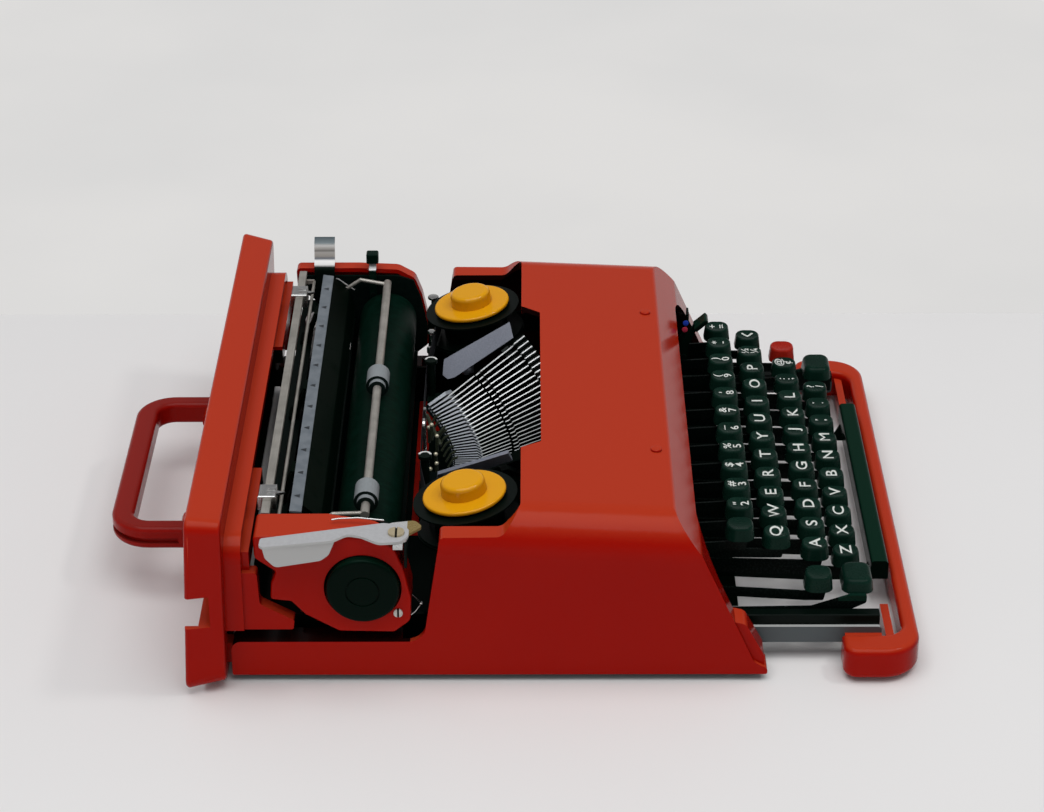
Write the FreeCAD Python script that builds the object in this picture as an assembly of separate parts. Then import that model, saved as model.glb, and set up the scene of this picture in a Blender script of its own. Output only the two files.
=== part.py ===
# Portable typewriter with a moulded shell, a back plate with a handle and a front bumper
# Millimetres, +Z up, keyboard towards -Y, carriage return lever on the -X side
# Heights are measured from the table, depths from the back face of the back plate
import FreeCAD, Part
import math
import os

V = FreeCAD.Vector

# Overall size
PLATE_WIDTH = 321.0
PLATE_TOP = 97.4
PLATE_BOTTOM = 1.3
PLATE_LEAN = 4.5
PLATE_DRAFT = 3.5
PLATE_DEPTH = 16.0
PLATE_RECESS = 3.5
PLATE_SKIN = 3.0
PLATE_EDGE = 3.5
FRONT_DEPTH = 351.8
HANDLE_REACH = 51.6
HALF = 147.6
TABLE_GAP = 3.7
FLANGE_TOP = 79.8
FLANGE_HALF = 149.5
FLANGE_DEPTH = 24.5

# Main shell
WALL = 3.0
EDGE_RADIUS = 20.0
LEDGE = 22.8
RIM = 80.4
RIM_BACK = 119.0
HOOD_BACK = 157.2
HOOD_FRONT = 230.9
HOOD_TOP = 90.5
HOOD_FALL = 0.046
LIP_HEIGHT = 72.0
WELL_HALF = 135.0

# Chassis
SIDE_X = 126.5
SIDE_T = 2.0
RAIL_TOP = 18.5
RAIL_LOW = 9.5
RAIL_FRONT = 334.0
ROD_HEIGHT = 22.0
ROD_RADIUS = 3.0
ROD_BACK = 52.0
ROD_FRONT = 92.0
RUN = 0.05

# Keyboard
PITCH = 19.05
FIRST_X = -86.9
CAP_X = 11.8
CAP_Y = 12.6
CAP_H = 7.0
KEY_LEVER_T = 1.2
LEVER_H = 5.0
PIVOT_Y = -196.0
PIVOT_Z = 44.0
PIVOT_R = 2.0
COMB_Y = -238.5
ROW_Y = [-265.5, -283.5, -303.3, -320.1]
ROW_Z = [64.5, 54.2, 44.4, 34.4]
ROW_SHIFT = [0.0, -0.5, -0.25, 0.25]
LOCK_X = -113.3
TAB_X = 115.3
BACK_X = 113.1
SHIFT_X = 118.5
SPACE_ARMS = (-70.25, 72.6)
ROW_COUNT = [11, 11, 11, 10]
COMB_Z = [50.0, 41.5, 33.0, 24.5]

# Type basket
TILT = math.radians(46.0)
STRIKE_GAP = 5.1
BAR_LENGTH = 52.0
BAR_FLARE = math.radians(25.0)
BAR_SPAN = math.radians(59.0)
BAR_COUNT = 43
BAR_T = 1.0
SEGMENT_RIM = 40.0
SEGMENT_OUT = 58.0
SEGMENT_BACK = -7.0
SEGMENT_TOP = 4.2
SEGMENT_SPAN = math.radians(62.0)
SLOT_FLOOR = -5.6
SLOT_END = 56.0
REST_LOW = 36.0
REST_TOP = 40.0
GUIDE_X = 51.0
GUIDE_Y = -108.9

# Ribbon spools
SPOOL_X = 102.0
SPOOL_Y = -129.8
SPOOL_Z = 80.3
SPOOL_TILT = 8.8
CAP_RADIUS = 20.7
KNOB_RADIUS = 10.8
FLANGE_RADIUS = 25.8
COIL_RADIUS = 17.5
SPOOL_GAP = 13.0

# Carriage
CARRIAGE_HALF = 148.0
COVER_IN_LEFT = 127.3
COVER_IN_RIGHT = 139.6
COVER_TOP = 82.8
PLATEN_Y = -82.0
PLATEN_Z = 53.7
PLATEN_R = 16.0
STRIKE = V(0.0, PLATEN_Y - (PLATEN_R + STRIKE_GAP) * math.cos(TILT),
           PLATEN_Z + (PLATEN_R + STRIKE_GAP) * math.sin(TILT))
SHAFT_R = 4.0
KNOB_R = 17.6
KNOB_OUT = 151.5
END_T = 1.8
BAIL_ROD_R = 2.2
BAIL_ROLL_R = 6.0
BAIL_PIVOT = V(0.0, -56.0, 71.5)
MARGIN_Y = -34.7
MARGIN_Z = 82.0
LEVER_PIVOT = V(-147.8, -98.7, 83.1)
LEVER_T = 1.3
FLOOR_LOW = 29.4
FLOOR_TOP = 31.2
LEFT_END = -COVER_IN_LEFT + 0.3
RIGHT_END = COVER_IN_RIGHT - 0.3
RIGHT_IN = RIGHT_END - END_T
PLATEN_LEFT = -121.6
PLATEN_RIGHT = 134.5
RELEASE_PIN = -46.5
PAPER_PIN = -73.6
PIN_Z = 68.5
FEED_ANGLE = math.radians(62.0)
FEED_R = 4.0
FEED_Y = PLATEN_Y - (PLATEN_R + FEED_R + 0.25) * math.cos(FEED_ANGLE)
FEED_Z = PLATEN_Z - (PLATEN_R + FEED_R + 0.25) * math.sin(FEED_ANGLE)
BAIL_Y = PLATEN_Y
BAIL_Z = PLATEN_Z + PLATEN_R + BAIL_ROLL_R + 0.25
BAIL_LEFT = -117.5
BAIL_RIGHT = 134.5
BAIL_ARMS = (-121.5, 132.3)
DRUM_X = -92.0
DRUM_Y = -72.0

# Bumper
BUMPER_HALF = 150.5
BUMPER_LOW = 2.2
BUMPER_TOP = 18.7
BUMPER_BAR = 8.0
BUMPER_LEG = 16.0
BUMPER_END = 314.0
BUMPER_RADIUS = 29.0

# Handle
HANDLE_HALF = 70.0
HANDLE_LEG = 9.8
HANDLE_BAR = 11.6
HANDLE_LOW = 27.0
HANDLE_TOP = 39.4
HANDLE_PIVOT_Y = 10.0

MIDDLE = (FRONT_DEPTH - HANDLE_REACH) / 2.0

os.makedirs("parts", exist_ok=True)


# Plain shape helpers
def rounded(points, radii):
    n = len(points)
    out = []
    for i in range(n):
        p = V(points[i][0], points[i][1], 0)
        r = radii[i] if isinstance(radii, (list, tuple)) else radii
        a = V(points[i - 1][0], points[i - 1][1], 0) - p
        b = V(points[(i + 1) % n][0], points[(i + 1) % n][1], 0) - p
        la = a.Length
        lb = b.Length
        a.normalize()
        b.normalize()
        angle = a.getAngle(b)
        if r <= 0 or abs(angle - math.pi) < 1e-3:
            out.append((p, p, p))
            continue
        t = min(r / math.tan(angle / 2.0), la * 0.49, lb * 0.49)
        rr = t * math.tan(angle / 2.0)
        mid = a + b
        mid.normalize()
        centre = p + mid * (rr / math.sin(angle / 2.0))
        out.append((p + a * t, centre - mid * rr, p + b * t))
    edges = []
    for i in range(n):
        s, m, e = out[i]
        if (s - e).Length > 1e-6:
            edges.append(Part.Arc(s, m, e).toShape())
        nxt = out[(i + 1) % n][0]
        if (nxt - e).Length > 1e-6:
            edges.append(Part.makeLine(e, nxt))
    return Part.Face(Part.Wire(edges))


def along_x(points, x0, x1, radii=0.0):
    face = rounded(points, radii)
    face.rotate(V(0, 0, 0), V(1, 1, 1), 120)
    face.translate(V(x0, 0, 0))
    return face.extrude(V(x1 - x0, 0, 0))


def along_y(points, y0, y1, radii=0.0):
    face = rounded(points, radii)
    face.rotate(V(0, 0, 0), V(1, 0, 0), 90)
    face.translate(V(0, y0, 0))
    return face.extrude(V(0, y1 - y0, 0))


def along_z(points, z0, z1, radii=0.0):
    face = rounded(points, radii)
    face.translate(V(0, 0, z0))
    return face.extrude(V(0, 0, z1 - z0))


def box(x0, x1, y0, y1, z0, z1):
    lo = V(min(x0, x1), min(y0, y1), min(z0, z1))
    return Part.makeBox(abs(x1 - x0), abs(y1 - y0), abs(z1 - z0), lo)


def rod(a, b, r):
    return Part.makeCylinder(r, (b - a).Length, a, b - a)


def wire_path(points, r):
    body = rod(points[0], points[1], r)
    for i in range(1, len(points) - 1):
        body = body.fuse(Part.makeSphere(r, points[i]))
        body = body.fuse(rod(points[i], points[i + 1], r))
    return body


def rectangle(x0, x1, z0, z1):
    return [(x0, z0), (x1, z0), (x1, z1), (x0, z1)]


def mirrored(shape):
    return shape.mirror(V(0, 0, 0), V(1, 0, 0))


def both(shape):
    return Part.makeCompound([shape, mirrored(shape)])


def fused(shapes):
    body = shapes[0]
    if len(shapes) > 1:
        body = body.fuse(shapes[1:])
    return body.removeSplitter()


def save(name, shape):
    solids = shape.Solids
    if not solids:
        raise ValueError(name + " has no solid")
    result = solids[0] if len(solids) == 1 else Part.makeCompound(solids)
    if not result.isValid():
        print("not valid", name)
    result = result.copy()
    result.translate(V(0, MIDDLE, 0))
    result.exportStep("parts/" + name + ".step")


# Back plate: drafted tray, inner flange, two cheeks and two handle lugs
def plate_wire(half, top, bottom, radius):
    height = (top - bottom).Length
    face = rounded(rectangle(-half, half, 0.0, height), radius)
    wire = face.OuterWire
    wire.rotate(V(0, 0, 0), V(1, 0, 0), 90)
    lean = math.degrees(math.atan2(bottom.y - top.y, top.z - bottom.z))
    wire.rotate(V(0, 0, 0), V(1, 0, 0), lean)
    wire.translate(V(0, bottom.y, bottom.z))
    return wire


def back_plate():
    half = PLATE_WIDTH / 2.0
    back = plate_wire(half, V(0, 0, PLATE_TOP), V(0, PLATE_LEAN, PLATE_BOTTOM), 7.0)
    front_top = V(0, -PLATE_DEPTH - 0.8, PLATE_TOP - PLATE_DRAFT)
    front_low = V(0, -PLATE_DEPTH + 0.8, PLATE_BOTTOM + PLATE_DRAFT)
    front = plate_wire(half - PLATE_DRAFT, front_top, front_low, 6.0)
    body = Part.makeLoft([back, front], True, True)
    rim = [e for e in body.Edges if e.BoundBox.YLength < 8.0]
    body = body.makeFillet(1.8, rim)
    flange_half = FLANGE_HALF
    outer = along_y(rectangle(-flange_half, flange_half, 30.0, FLANGE_TOP), -10.0, -FLANGE_DEPTH,
                    [1.0, 1.0, 12.0, 12.0])
    body = body.fuse(outer)
    floor = -PLATE_RECESS - PLATE_SKIN
    inner = along_y(rectangle(-flange_half + 5.0, flange_half - 5.0, 9.0, FLANGE_TOP - 4.0), floor, -60.0,
                    [4.0, 4.0, 8.0, 8.0])
    recess = along_y(rectangle(-half + PLATE_EDGE, half - PLATE_EDGE, -9.0, PLATE_TOP - PLATE_EDGE),
                     -PLATE_RECESS, 30.0,
                     [0, 0, 5.0, 5.0])
    body = body.cut(inner).cut(recess)
    cheek = along_x([(-12.0, 30.1), (-48.0, 30.1), (-48.6, 35.3), (-32.3, 44.5), (-31.7, 62.0),
                     (-12.0, 62.0)],
                    HALF - 7.0, HALF, [0, 1.0, 1.5, 3.0, 2.0, 0])
    ledge = box(65.0, HALF - 3.0, floor + 1.0, -28.0, 62.0, 72.0)
    tongue = box(WELL_HALF + 1.0, HALF - WALL - 0.3, floor + 1.0, -45.0, 9.0, LEDGE - WALL)
    lug = along_x([(-4.5, HANDLE_LOW), (16.0, HANDLE_LOW), (16.0, HANDLE_TOP), (-4.5, HANDLE_TOP)],
                  51.0, 59.8, [0, 6.0, 6.0, 0])
    centre_z = (HANDLE_LOW + HANDLE_TOP) / 2.0
    bore = rod(V(50.0, HANDLE_PIVOT_Y, centre_z), V(61.0, HANDLE_PIVOT_Y, centre_z), 2.5 + RUN)
    lug = lug.cut(bore)
    notch = box(half - 34.0, half + 5.0, -9.4, 30.0, 38.3, 55.3)
    pocket = box(half - 36.0, half - 14.0, -11.4, -PLATE_RECESS - 0.5, 36.3, 57.3)
    body = fused([body, pocket, mirrored(pocket)]).cut([notch, mirrored(notch)])
    sides = [cheek, ledge, tongue, lug]
    return fused([body] + sides + [mirrored(side) for side in sides])


# Handle: flat U with a groove round its rim and two pivot pins
def handle():
    w = HANDLE_HALF
    leg = HANDLE_LEG
    y0 = HANDLE_PIVOT_Y
    outer = along_z([(-w, y0), (w, y0), (w, HANDLE_REACH), (-w, HANDLE_REACH)], HANDLE_LOW, HANDLE_TOP,
                    [0, 0, 22.0, 22.0])
    bar = HANDLE_REACH - HANDLE_BAR
    inner = along_z([(-w + leg, y0 - 9), (w - leg, y0 - 9), (w - leg, bar), (-w + leg, bar)],
                    HANDLE_LOW - 1, HANDLE_TOP + 1, [0, 0, 9.0, 9.0])
    body = outer.cut(inner)
    soft = [e for e in body.Edges if e.BoundBox.ZLength < 0.01 and e.BoundBox.YMax > y0 + 0.5]
    body = body.makeFillet(2.6, soft)
    groove = along_z([(-w - 9, y0 + 3), (w + 9, y0 + 3), (w + 9, HANDLE_REACH + 9),
                      (-w - 9, HANDLE_REACH + 9)],
                     HANDLE_LOW + 3.5, HANDLE_LOW + 6.7)
    keep = along_z([(-w + 1.8, 0), (w - 1.8, 0), (w - 1.8, HANDLE_REACH - 1.8),
                    (-w + 1.8, HANDLE_REACH - 1.8)],
                   HANDLE_LOW, HANDLE_TOP, [0, 0, 20.2, 20.2])
    body = body.cut(groove.cut(keep))
    centre_z = (HANDLE_LOW + HANDLE_TOP) / 2.0
    half_t = (HANDLE_TOP - HANDLE_LOW) / 2.0
    eye = rod(V(w - leg, y0, centre_z), V(w, y0, centre_z), half_t)
    pin = rod(V(49.0, y0, centre_z), V(w - leg + 1, y0, centre_z), 2.5)
    return fused([body, eye, mirrored(eye), pin, mirrored(pin)])


# Main shell: one rounded section cut to the side profile, hollowed, with its openings
def section_bar(half, top, radius, bottom):
    face = rounded(rectangle(-half, half, bottom, top), [0, 0, radius, radius])
    face.rotate(V(0, 0, 0), V(1, 0, 0), 90)
    lift = HOOD_FALL * HOOD_BACK
    face.translate(V(0, 0, lift))
    reach = 320.0
    return face.extrude(V(0, -reach, -reach * HOOD_FALL))


def hood_height(y):
    return HOOD_TOP - HOOD_FALL * (-HOOD_BACK - y)


def top_cover():
    brow = hood_height(-HOOD_FRONT)
    profile = [(-17.3, TABLE_GAP), (-17.3, LEDGE), (-110.4, LEDGE), (-RIM_BACK, RIM), (-148.5, RIM),
               (-HOOD_BACK, HOOD_TOP), (-HOOD_FRONT, brow), (-243.8, 70.5), (-270.5, 10.5), (-277.0, 6.8),
               (-277.0, TABLE_GAP)]
    outer = along_x(profile, -HALF, HALF, [1.0, 5.0, 9.0, 2.5, 6.0, 2.5, 2.5, 9.0, 5.0, 2.0, 1.0])
    outer = outer.common(section_bar(HALF, HOOD_TOP, EDGE_RADIUS, -60.0))
    slope = [(-5.0, -20.0), (-5.0, LEDGE - WALL), (-100.0, LEDGE - WALL), (-100.0, RIM - WALL),
             (-146.0, RIM - WALL), (-160.0, HOOD_TOP - WALL), (1.2 - HOOD_FRONT, brow - WALL),
             (-240.8, 69.5), (-267.5, 8.0), (-267.5, -20.0)]
    inner = along_x(slope, -HALF + WALL, HALF - WALL, [0, 0, 0, 0, 0, 0, 1.0, 6.0, 0, 0])
    inner = inner.common(section_bar(HALF - WALL, HOOD_TOP - WALL, EDGE_RADIUS - WALL, -60.0))
    body = outer.cut(inner)
    rear = box(-WELL_HALF, WELL_HALF, -125.0, 0.0, 8.0, 60.0)
    slot = [(-135.1, -80.0), (-135.1, -157.4), (-76.8, -157.4), (-70.1, -167.4),
            (70.1, -167.4), (76.8, -157.4), (135.1, -157.4), (135.1, -80.0)]
    top_slot = along_z(slot, 60.0, 120.0, [0, 5.0, 0.8, 0.8, 0.8, 0.8, 5.0, 0])
    well = along_y(rectangle(-WELL_HALF, WELL_HALF, -20.0, LIP_HEIGHT), -225.0, -300.0, [0, 0, 27.0, 27.0])
    body = body.cut([rear, top_slot, well])
    gusset = along_x([(-262.0, TABLE_GAP), (-258.5, 33.0), (-266.0, 31.0), (-275.5, 13.0),
                      (-275.5, TABLE_GAP)],
                     WELL_HALF - 2.5, HALF - 2.0, [0, 2.0, 5.0, 5.0, 0])
    rivet = rod(V(74.5, -224.3, hood_height(-224.3) - 3.6), V(74.5, -224.3, hood_height(-224.3) + 1.0), 2.05)
    body = body.cut([rivet, mirrored(rivet)])
    return fused([body, gusset, mirrored(gusset)])


def cover_rivets():
    top = hood_height(-224.3)
    stem = rod(V(74.5, -224.3, top - 5.0), V(74.5, -224.3, top + 0.4), 2.0)
    head = rod(V(74.5, -224.3, top + 0.15), V(74.5, -224.3, top + 1.2), 2.8)
    head = head.makeFillet(0.9, [e for e in head.Edges if e.BoundBox.ZMin > top + 1.1])
    return both(stem.fuse(head))


# Black base pan with side strips, and its feet
def base_pan():
    y_front = -236.0
    pan = box(-HALF + WALL + 0.3, HALF - WALL - 0.3, -19.0, y_front, 2.4, 4.4)
    strip = box(WELL_HALF - 4.0, HALF - WALL - 0.3, y_front, -257.8, 2.4, 4.4)
    lip = box(HALF - WALL - 1.8, HALF - WALL - 0.3, -19.0, -257.8, 4.4, 9.0)
    wall = box(-SIDE_X, SIDE_X, y_front + 1.5, y_front, 4.4, 8.0)
    body = fused([pan, strip, mirrored(strip), lip, mirrored(lip), wall])
    hole = rod(V(118.0, -42.0, 2.0), V(118.0, -42.0, 5.0), 3.0)
    hole2 = rod(V(118.0, -222.0, 2.0), V(118.0, -222.0, 5.0), 3.0)
    drum_post = rod(V(DRUM_X, DRUM_Y, 4.4), V(DRUM_X, DRUM_Y, 15.4), 2.5)
    return body.cut([hole, mirrored(hole), hole2, mirrored(hole2)]).fuse(drum_post)


def rubber_feet():
    feet = []
    for y in (-42.0, -222.0):
        pad = rod(V(118.0, y, 0.0), V(118.0, y, 2.4), 7.0)
        pad = pad.makeFillet(0.7, [e for e in pad.Edges if e.BoundBox.ZMax < 0.1])
        stem = rod(V(118.0, y, 2.3), V(118.0, y, 5.6), 2.95)
        foot = pad.fuse(stem).removeSplitter()
        feet.append(foot)
        feet.append(mirrored(foot))
    return Part.makeCompound(feet)


# Front bumper: U bar with end blocks, an inner rib and bosses on the side rails
def front_bumper():
    w = BUMPER_HALF
    front = -FRONT_DEPTH
    outer = along_z([(-w, -BUMPER_END), (-w, front), (w, front), (w, -BUMPER_END)], BUMPER_LOW, BUMPER_TOP,
                    [7.0, BUMPER_RADIUS, BUMPER_RADIUS, 7.0])
    inside = w - BUMPER_LEG
    inner = along_z([(-inside, -BUMPER_END + 9), (-inside, front + BUMPER_BAR), (inside, front + BUMPER_BAR),
                     (inside, -BUMPER_END + 9)], BUMPER_LOW - 1, BUMPER_TOP + 1, [0, 10.0, 10.0, 0])
    body = outer.cut(inner)
    soft = [e for e in body.Edges if e.BoundBox.ZLength < 0.01]
    body = body.makeFillet(3.2, soft)
    boss = box(SIDE_X + SIDE_T, inside + 1.0, -BUMPER_END - 2.0, -RAIL_FRONT, RAIL_LOW - 3.0, RAIL_TOP - 3.5)
    rib = box(102.0, inside + 1.0, -336.0, -340.0, 5.5, 14.5)
    return fused([body, boss, mirrored(boss), rib, mirrored(rib)])


# Chassis: two steel side plates, cross bars and black keyboard rails
def chassis_sides():
    outline = [(-28.0, 4.4), (-28.0, 26.3), (-112.0, 26.3), (-114.0, 54.0), (-158.0, 62.0), (-226.0, 62.0),
               (-237.0, 44.0), (-239.0, RAIL_TOP), (-RAIL_FRONT, RAIL_TOP), (-RAIL_FRONT, RAIL_LOW),
               (-240.0, RAIL_LOW), (-232.0, 4.4)]
    plate = along_x(outline, SIDE_X, SIDE_X + SIDE_T, [3.0, 4.0, 3.0, 4.0, 6.0, 8.0, 8.0, 4.0, 2.0, 2.0,
                                                       4.0, 3.0])
    window = along_x([(-134.0, 20.0), (-134.0, 46.0), (-186.0, 52.0), (-186.0, 30.0), (-150.0, 20.0)],
                     SIDE_X - 1, SIDE_X + SIDE_T + 1, 5.0)
    plate = plate.cut(window)
    return both(plate)


def chassis_cross_bars():
    front_bar = box(-SIDE_X, SIDE_X, -121.0, -141.0, 4.4, 7.4)
    web = box(-SIDE_X, SIDE_X, -141.0, -143.0, 4.4, 9.4)
    rear_bar = box(-SIDE_X, SIDE_X, -30.0, -33.0, 4.4, 18.0)
    block = box(-7.0, 7.0, -103.0, -112.0, 4.4, 22.0)
    foot = box(-7.0, 7.0, -112.0, -121.5, 4.4, 7.4)
    groove = box(-2.5 - RUN, 2.5 + RUN, -106.2 + RUN, -107.4 - RUN, 9.0, 30.0)
    bars = fused([front_bar, web, block.cut(groove), foot])
    return Part.makeCompound([bars, rear_bar] + keyboard_rails().Solids)


def keyboard_rails():
    flange = box(120.2, SIDE_X, -240.0, -333.0, 22.5, 24.0)
    web = box(SIDE_X - 1.8, SIDE_X, -240.0, -333.0, 12.0, 24.0)
    bead = box(120.2, 121.6, -240.0, -333.0, 20.0, 24.0)
    rail = fused([flange, web, bead])
    soft = [e for e in rail.Edges if e.BoundBox.YLength > 80 and e.BoundBox.ZMin > 23.9]
    return both(rail.makeFillet(0.7, soft))


def carriage_rails():
    rods = []
    for y in (ROD_BACK, ROD_FRONT):
        rods.append(rod(V(-SIDE_X, -y, ROD_HEIGHT), V(SIDE_X, -y, ROD_HEIGHT), ROD_RADIUS))
    return Part.makeCompound(rods)


# Key comb: a base bar with fingers standing between the key levers
def lever_planes():
    planes = []
    for row in range(4):
        for k in range(ROW_COUNT[row]):
            planes.append(FIRST_X + PITCH * (ROW_SHIFT[row] + k))
    planes += [FIRST_X - PITCH, LOCK_X, BACK_X, TAB_X]
    return sorted(planes)


def key_comb():
    parts = [box(-SIDE_X, SIDE_X, COMB_Y - 1.0, COMB_Y + 1.0, 6.0, 12.5)]
    planes = lever_planes()
    for a, b in zip(planes[:-1], planes[1:]):
        left = a + KEY_LEVER_T / 2.0 + 0.35
        right = b - KEY_LEVER_T / 2.0 - 0.35
        if right - left > 6.0:
            right = left + 2.0
        if right - left > 0.8:
            parts.append(box(left, right, COMB_Y - 1.0, COMB_Y + 1.0, 12.0, 62.0))
    body = fused(parts)
    for x in SPACE_ARMS:
        body = body.cut(box(x - 0.9, x + 0.9, COMB_Y - 2.0, COMB_Y + 2.0, 7.6, 19.0))
    return body


def key_pivot_rod():
    return rod(V(-SIDE_X, PIVOT_Y, PIVOT_Z), V(SIDE_X, PIVOT_Y, PIVOT_Z), PIVOT_R)


# One key: lever plate with an eye on the rod, a stem and a dished cap
def cap(x, y, top, size_x=CAP_X, size_y=CAP_Y, height=CAP_H, dish=True):
    low = rounded(rectangle(-size_x / 2 - 1.0, size_x / 2 + 1.0, -size_y / 2 - 0.8, size_y / 2 + 0.8), 5.0)
    low = low.OuterWire
    high = rounded(rectangle(-size_x / 2, size_x / 2, -size_y / 2, size_y / 2), 4.8).OuterWire
    low.translate(V(x, y, top - height))
    high.translate(V(x, y, top))
    body = Part.makeLoft([low, high], True, True)
    rim = [e for e in body.Edges if e.BoundBox.ZMin > top - 0.01]
    body = body.makeFillet(1.5 if dish else 2.6, rim)
    if dish:
        ball = Part.makeSphere(30.0, V(x, y, top + 30.0 - 0.7))
        body = body.cut(ball)
    return body


def lever(x, y, cap_bottom, comb_z, thick=KEY_LEVER_T):
    h = LEVER_H / 2.0
    bar_z = cap_bottom - 3.5 - h
    outline = [(PIVOT_Y + 4.0, PIVOT_Z - 4.0), (PIVOT_Y + 4.0, PIVOT_Z + 4.0), (PIVOT_Y - 6.0, PIVOT_Z + 4.0),
               (COMB_Y, comb_z + h), (y + 4.5, bar_z + h), (y + 4.0, cap_bottom + 0.5),
               (y - 4.0, cap_bottom + 0.5),
               (y - 4.0, bar_z + h - 0.5), (y - 3.0, bar_z - h), (y + 6.0, bar_z - h), (COMB_Y, comb_z - h),
               (PIVOT_Y - 6.0, PIVOT_Z - 4.0)]
    radii = [3.9, 3.9, 2.0, 3.0, 1.0, 0, 0, 0, 1.0, 2.0, 3.0, 2.0]
    body = along_x(outline, x - thick / 2, x + thick / 2, radii)
    bore = rod(V(x - 3, PIVOT_Y, PIVOT_Z), V(x + 3, PIVOT_Y, PIVOT_Z), PIVOT_R + RUN)
    return body.cut(bore)


def key(x, y, top, comb_z, size_x=CAP_X, size_y=CAP_Y, height=CAP_H):
    top_piece = cap(x, y, top, size_x, size_y, height)
    bar = lever(x, y, top - height, comb_z)
    return top_piece.fuse(bar).removeSplitter()


def key_row(row, skip=None):
    keys = []
    for k in range(ROW_COUNT[row]):
        if k == skip:
            continue
        x = FIRST_X + PITCH * (ROW_SHIFT[row] + k)
        keys.append(key(x, ROW_Y[row], ROW_Z[row], COMB_Z[row]))
    return Part.makeCompound(keys)


def single_key(row, k):
    return key(FIRST_X + PITCH * (ROW_SHIFT[row] + k), ROW_Y[row], ROW_Z[row], COMB_Z[row])


def margin_release_key():
    return key(FIRST_X - PITCH, ROW_Y[0] + 1.0, ROW_Z[0], COMB_Z[0])


def backspace_key():
    return key(BACK_X, ROW_Y[1], ROW_Z[1], COMB_Z[1])


def tab_key():
    return key(TAB_X, ROW_Y[2], ROW_Z[2] + 1.6, COMB_Z[2], CAP_X, CAP_Y, 8.0)


def shift_lock_key():
    return key(LOCK_X, ROW_Y[2], ROW_Z[2] - 3.4, COMB_Z[2] - 2.0, CAP_X + 1.0, CAP_Y, 8.0)


# Shift keys: two long levers joined by a cross tube under the hood
def shift_keys():
    parts = []
    h = 2.6
    outline = [(PIVOT_Y + 12.0, PIVOT_Z - 3.0), (PIVOT_Y + 12.0, PIVOT_Z + 3.0),
               (PIVOT_Y - 4.0, PIVOT_Z + 4.0),
               (COMB_Y + 4.0, 20.4 + h), (-300.0, 21.4 + h), (-318.0, 30.5), (-327.0, 30.5), (-327.0, 26.5),
               (-312.0, 21.4 - h), (COMB_Y + 4.0, 20.4 - h), (PIVOT_Y - 4.0, PIVOT_Z - 4.0)]
    radii = [2.9, 2.9, 3.0, 3.0, 3.0, 2.0, 0.5, 2.0, 3.0, 3.0, 3.0]
    for side, centre in ((-1, -106.5), (1, 113.4)):
        x = side * SHIFT_X
        parts.append(cap(centre, -323.0, 37.0, 19.0, 14.0, 7.0, False))
        bar = along_x(outline, x - 0.7, x + 0.7, radii)
        parts.append(bar.cut(rod(V(x - 4, PIVOT_Y, PIVOT_Z), V(x + 4, PIVOT_Y, PIVOT_Z), PIVOT_R + RUN)))
        parts.append(box(x, side * 110.0, -318.5, -326.5, 27.5, 30.5))
    parts.append(rod(V(-SHIFT_X, PIVOT_Y + 10.0, PIVOT_Z), V(SHIFT_X, PIVOT_Y + 10.0, PIVOT_Z), 2.2))
    return fused(parts)


# Space bar on two arms
def space_bar():
    bar = box(-82.0, 82.0, -333.2, -342.2, 16.5, 27.0)
    long_edges = [e for e in bar.Edges if e.BoundBox.XLength > 100 and e.BoundBox.ZMin > 26.9]
    bar = bar.makeFillet(2.0, long_edges)
    hollow = box(-80.0, 80.0, -335.0, -340.4, 16.0, 24.5)
    bar = bar.cut(hollow)
    parts = [bar]
    for x in SPACE_ARMS:
        outline = [(PIVOT_Y + 4.0, PIVOT_Z - 4.0), (PIVOT_Y + 4.0, PIVOT_Z + 4.0),
                   (PIVOT_Y - 5.0, PIVOT_Z + 3.0),
                   (COMB_Y + 6.0, 16.8), (-300.0, 13.0), (-330.0, 13.0), (-333.5, 20.0), (-341.5, 20.0),
                   (-341.5, 17.5), (-335.0, 9.0), (-300.0, 9.0), (COMB_Y + 6.0, 12.8),
                   (PIVOT_Y - 5.0, PIVOT_Z - 4.0)]
        arm = along_x(outline, x - 0.5, x + 0.5, [3.9, 3.9, 2, 2, 2, 2, 0, 0, 1, 2, 2, 2, 2])
        bore = rod(V(x - 3, PIVOT_Y, PIVOT_Z), V(x + 3, PIVOT_Y, PIVOT_Z), PIVOT_R + RUN)
        parts.append(arm.cut(bore))
    return fused(parts)


# The type basket is drawn with x across, y up in the segment plane and z forward, then tipped into place
def to_basket(shape):
    m = FreeCAD.Matrix()
    n = V(0, -math.cos(TILT), math.sin(TILT))
    up = V(0, math.sin(TILT), math.cos(TILT))
    m.A11, m.A12, m.A13, m.A14 = 1.0, 0.0, 0.0, STRIKE.x
    m.A21, m.A22, m.A23, m.A24 = 0.0, up.y, n.y, STRIKE.y
    m.A31, m.A32, m.A33, m.A34 = 0.0, up.z, n.z, STRIKE.z
    placed = shape.copy()
    placed.transformShape(m)
    return placed


def sector(section, half_angle):
    points = [V(r, 0, z) for r, z in section]
    face = Part.Face(Part.makePolygon(points + [points[0]]))
    ring = face.revolve(V(0, 0, 0), V(0, 0, 1), 2.0 * math.degrees(half_angle))
    ring.rotate(V(0, 0, 0), V(0, 0, 1), 270.0 - math.degrees(half_angle))
    return ring


def bar_angles():
    step = 2.0 * BAR_SPAN / (BAR_COUNT - 1)
    return [-BAR_SPAN + step * i for i in range(BAR_COUNT)]


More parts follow.
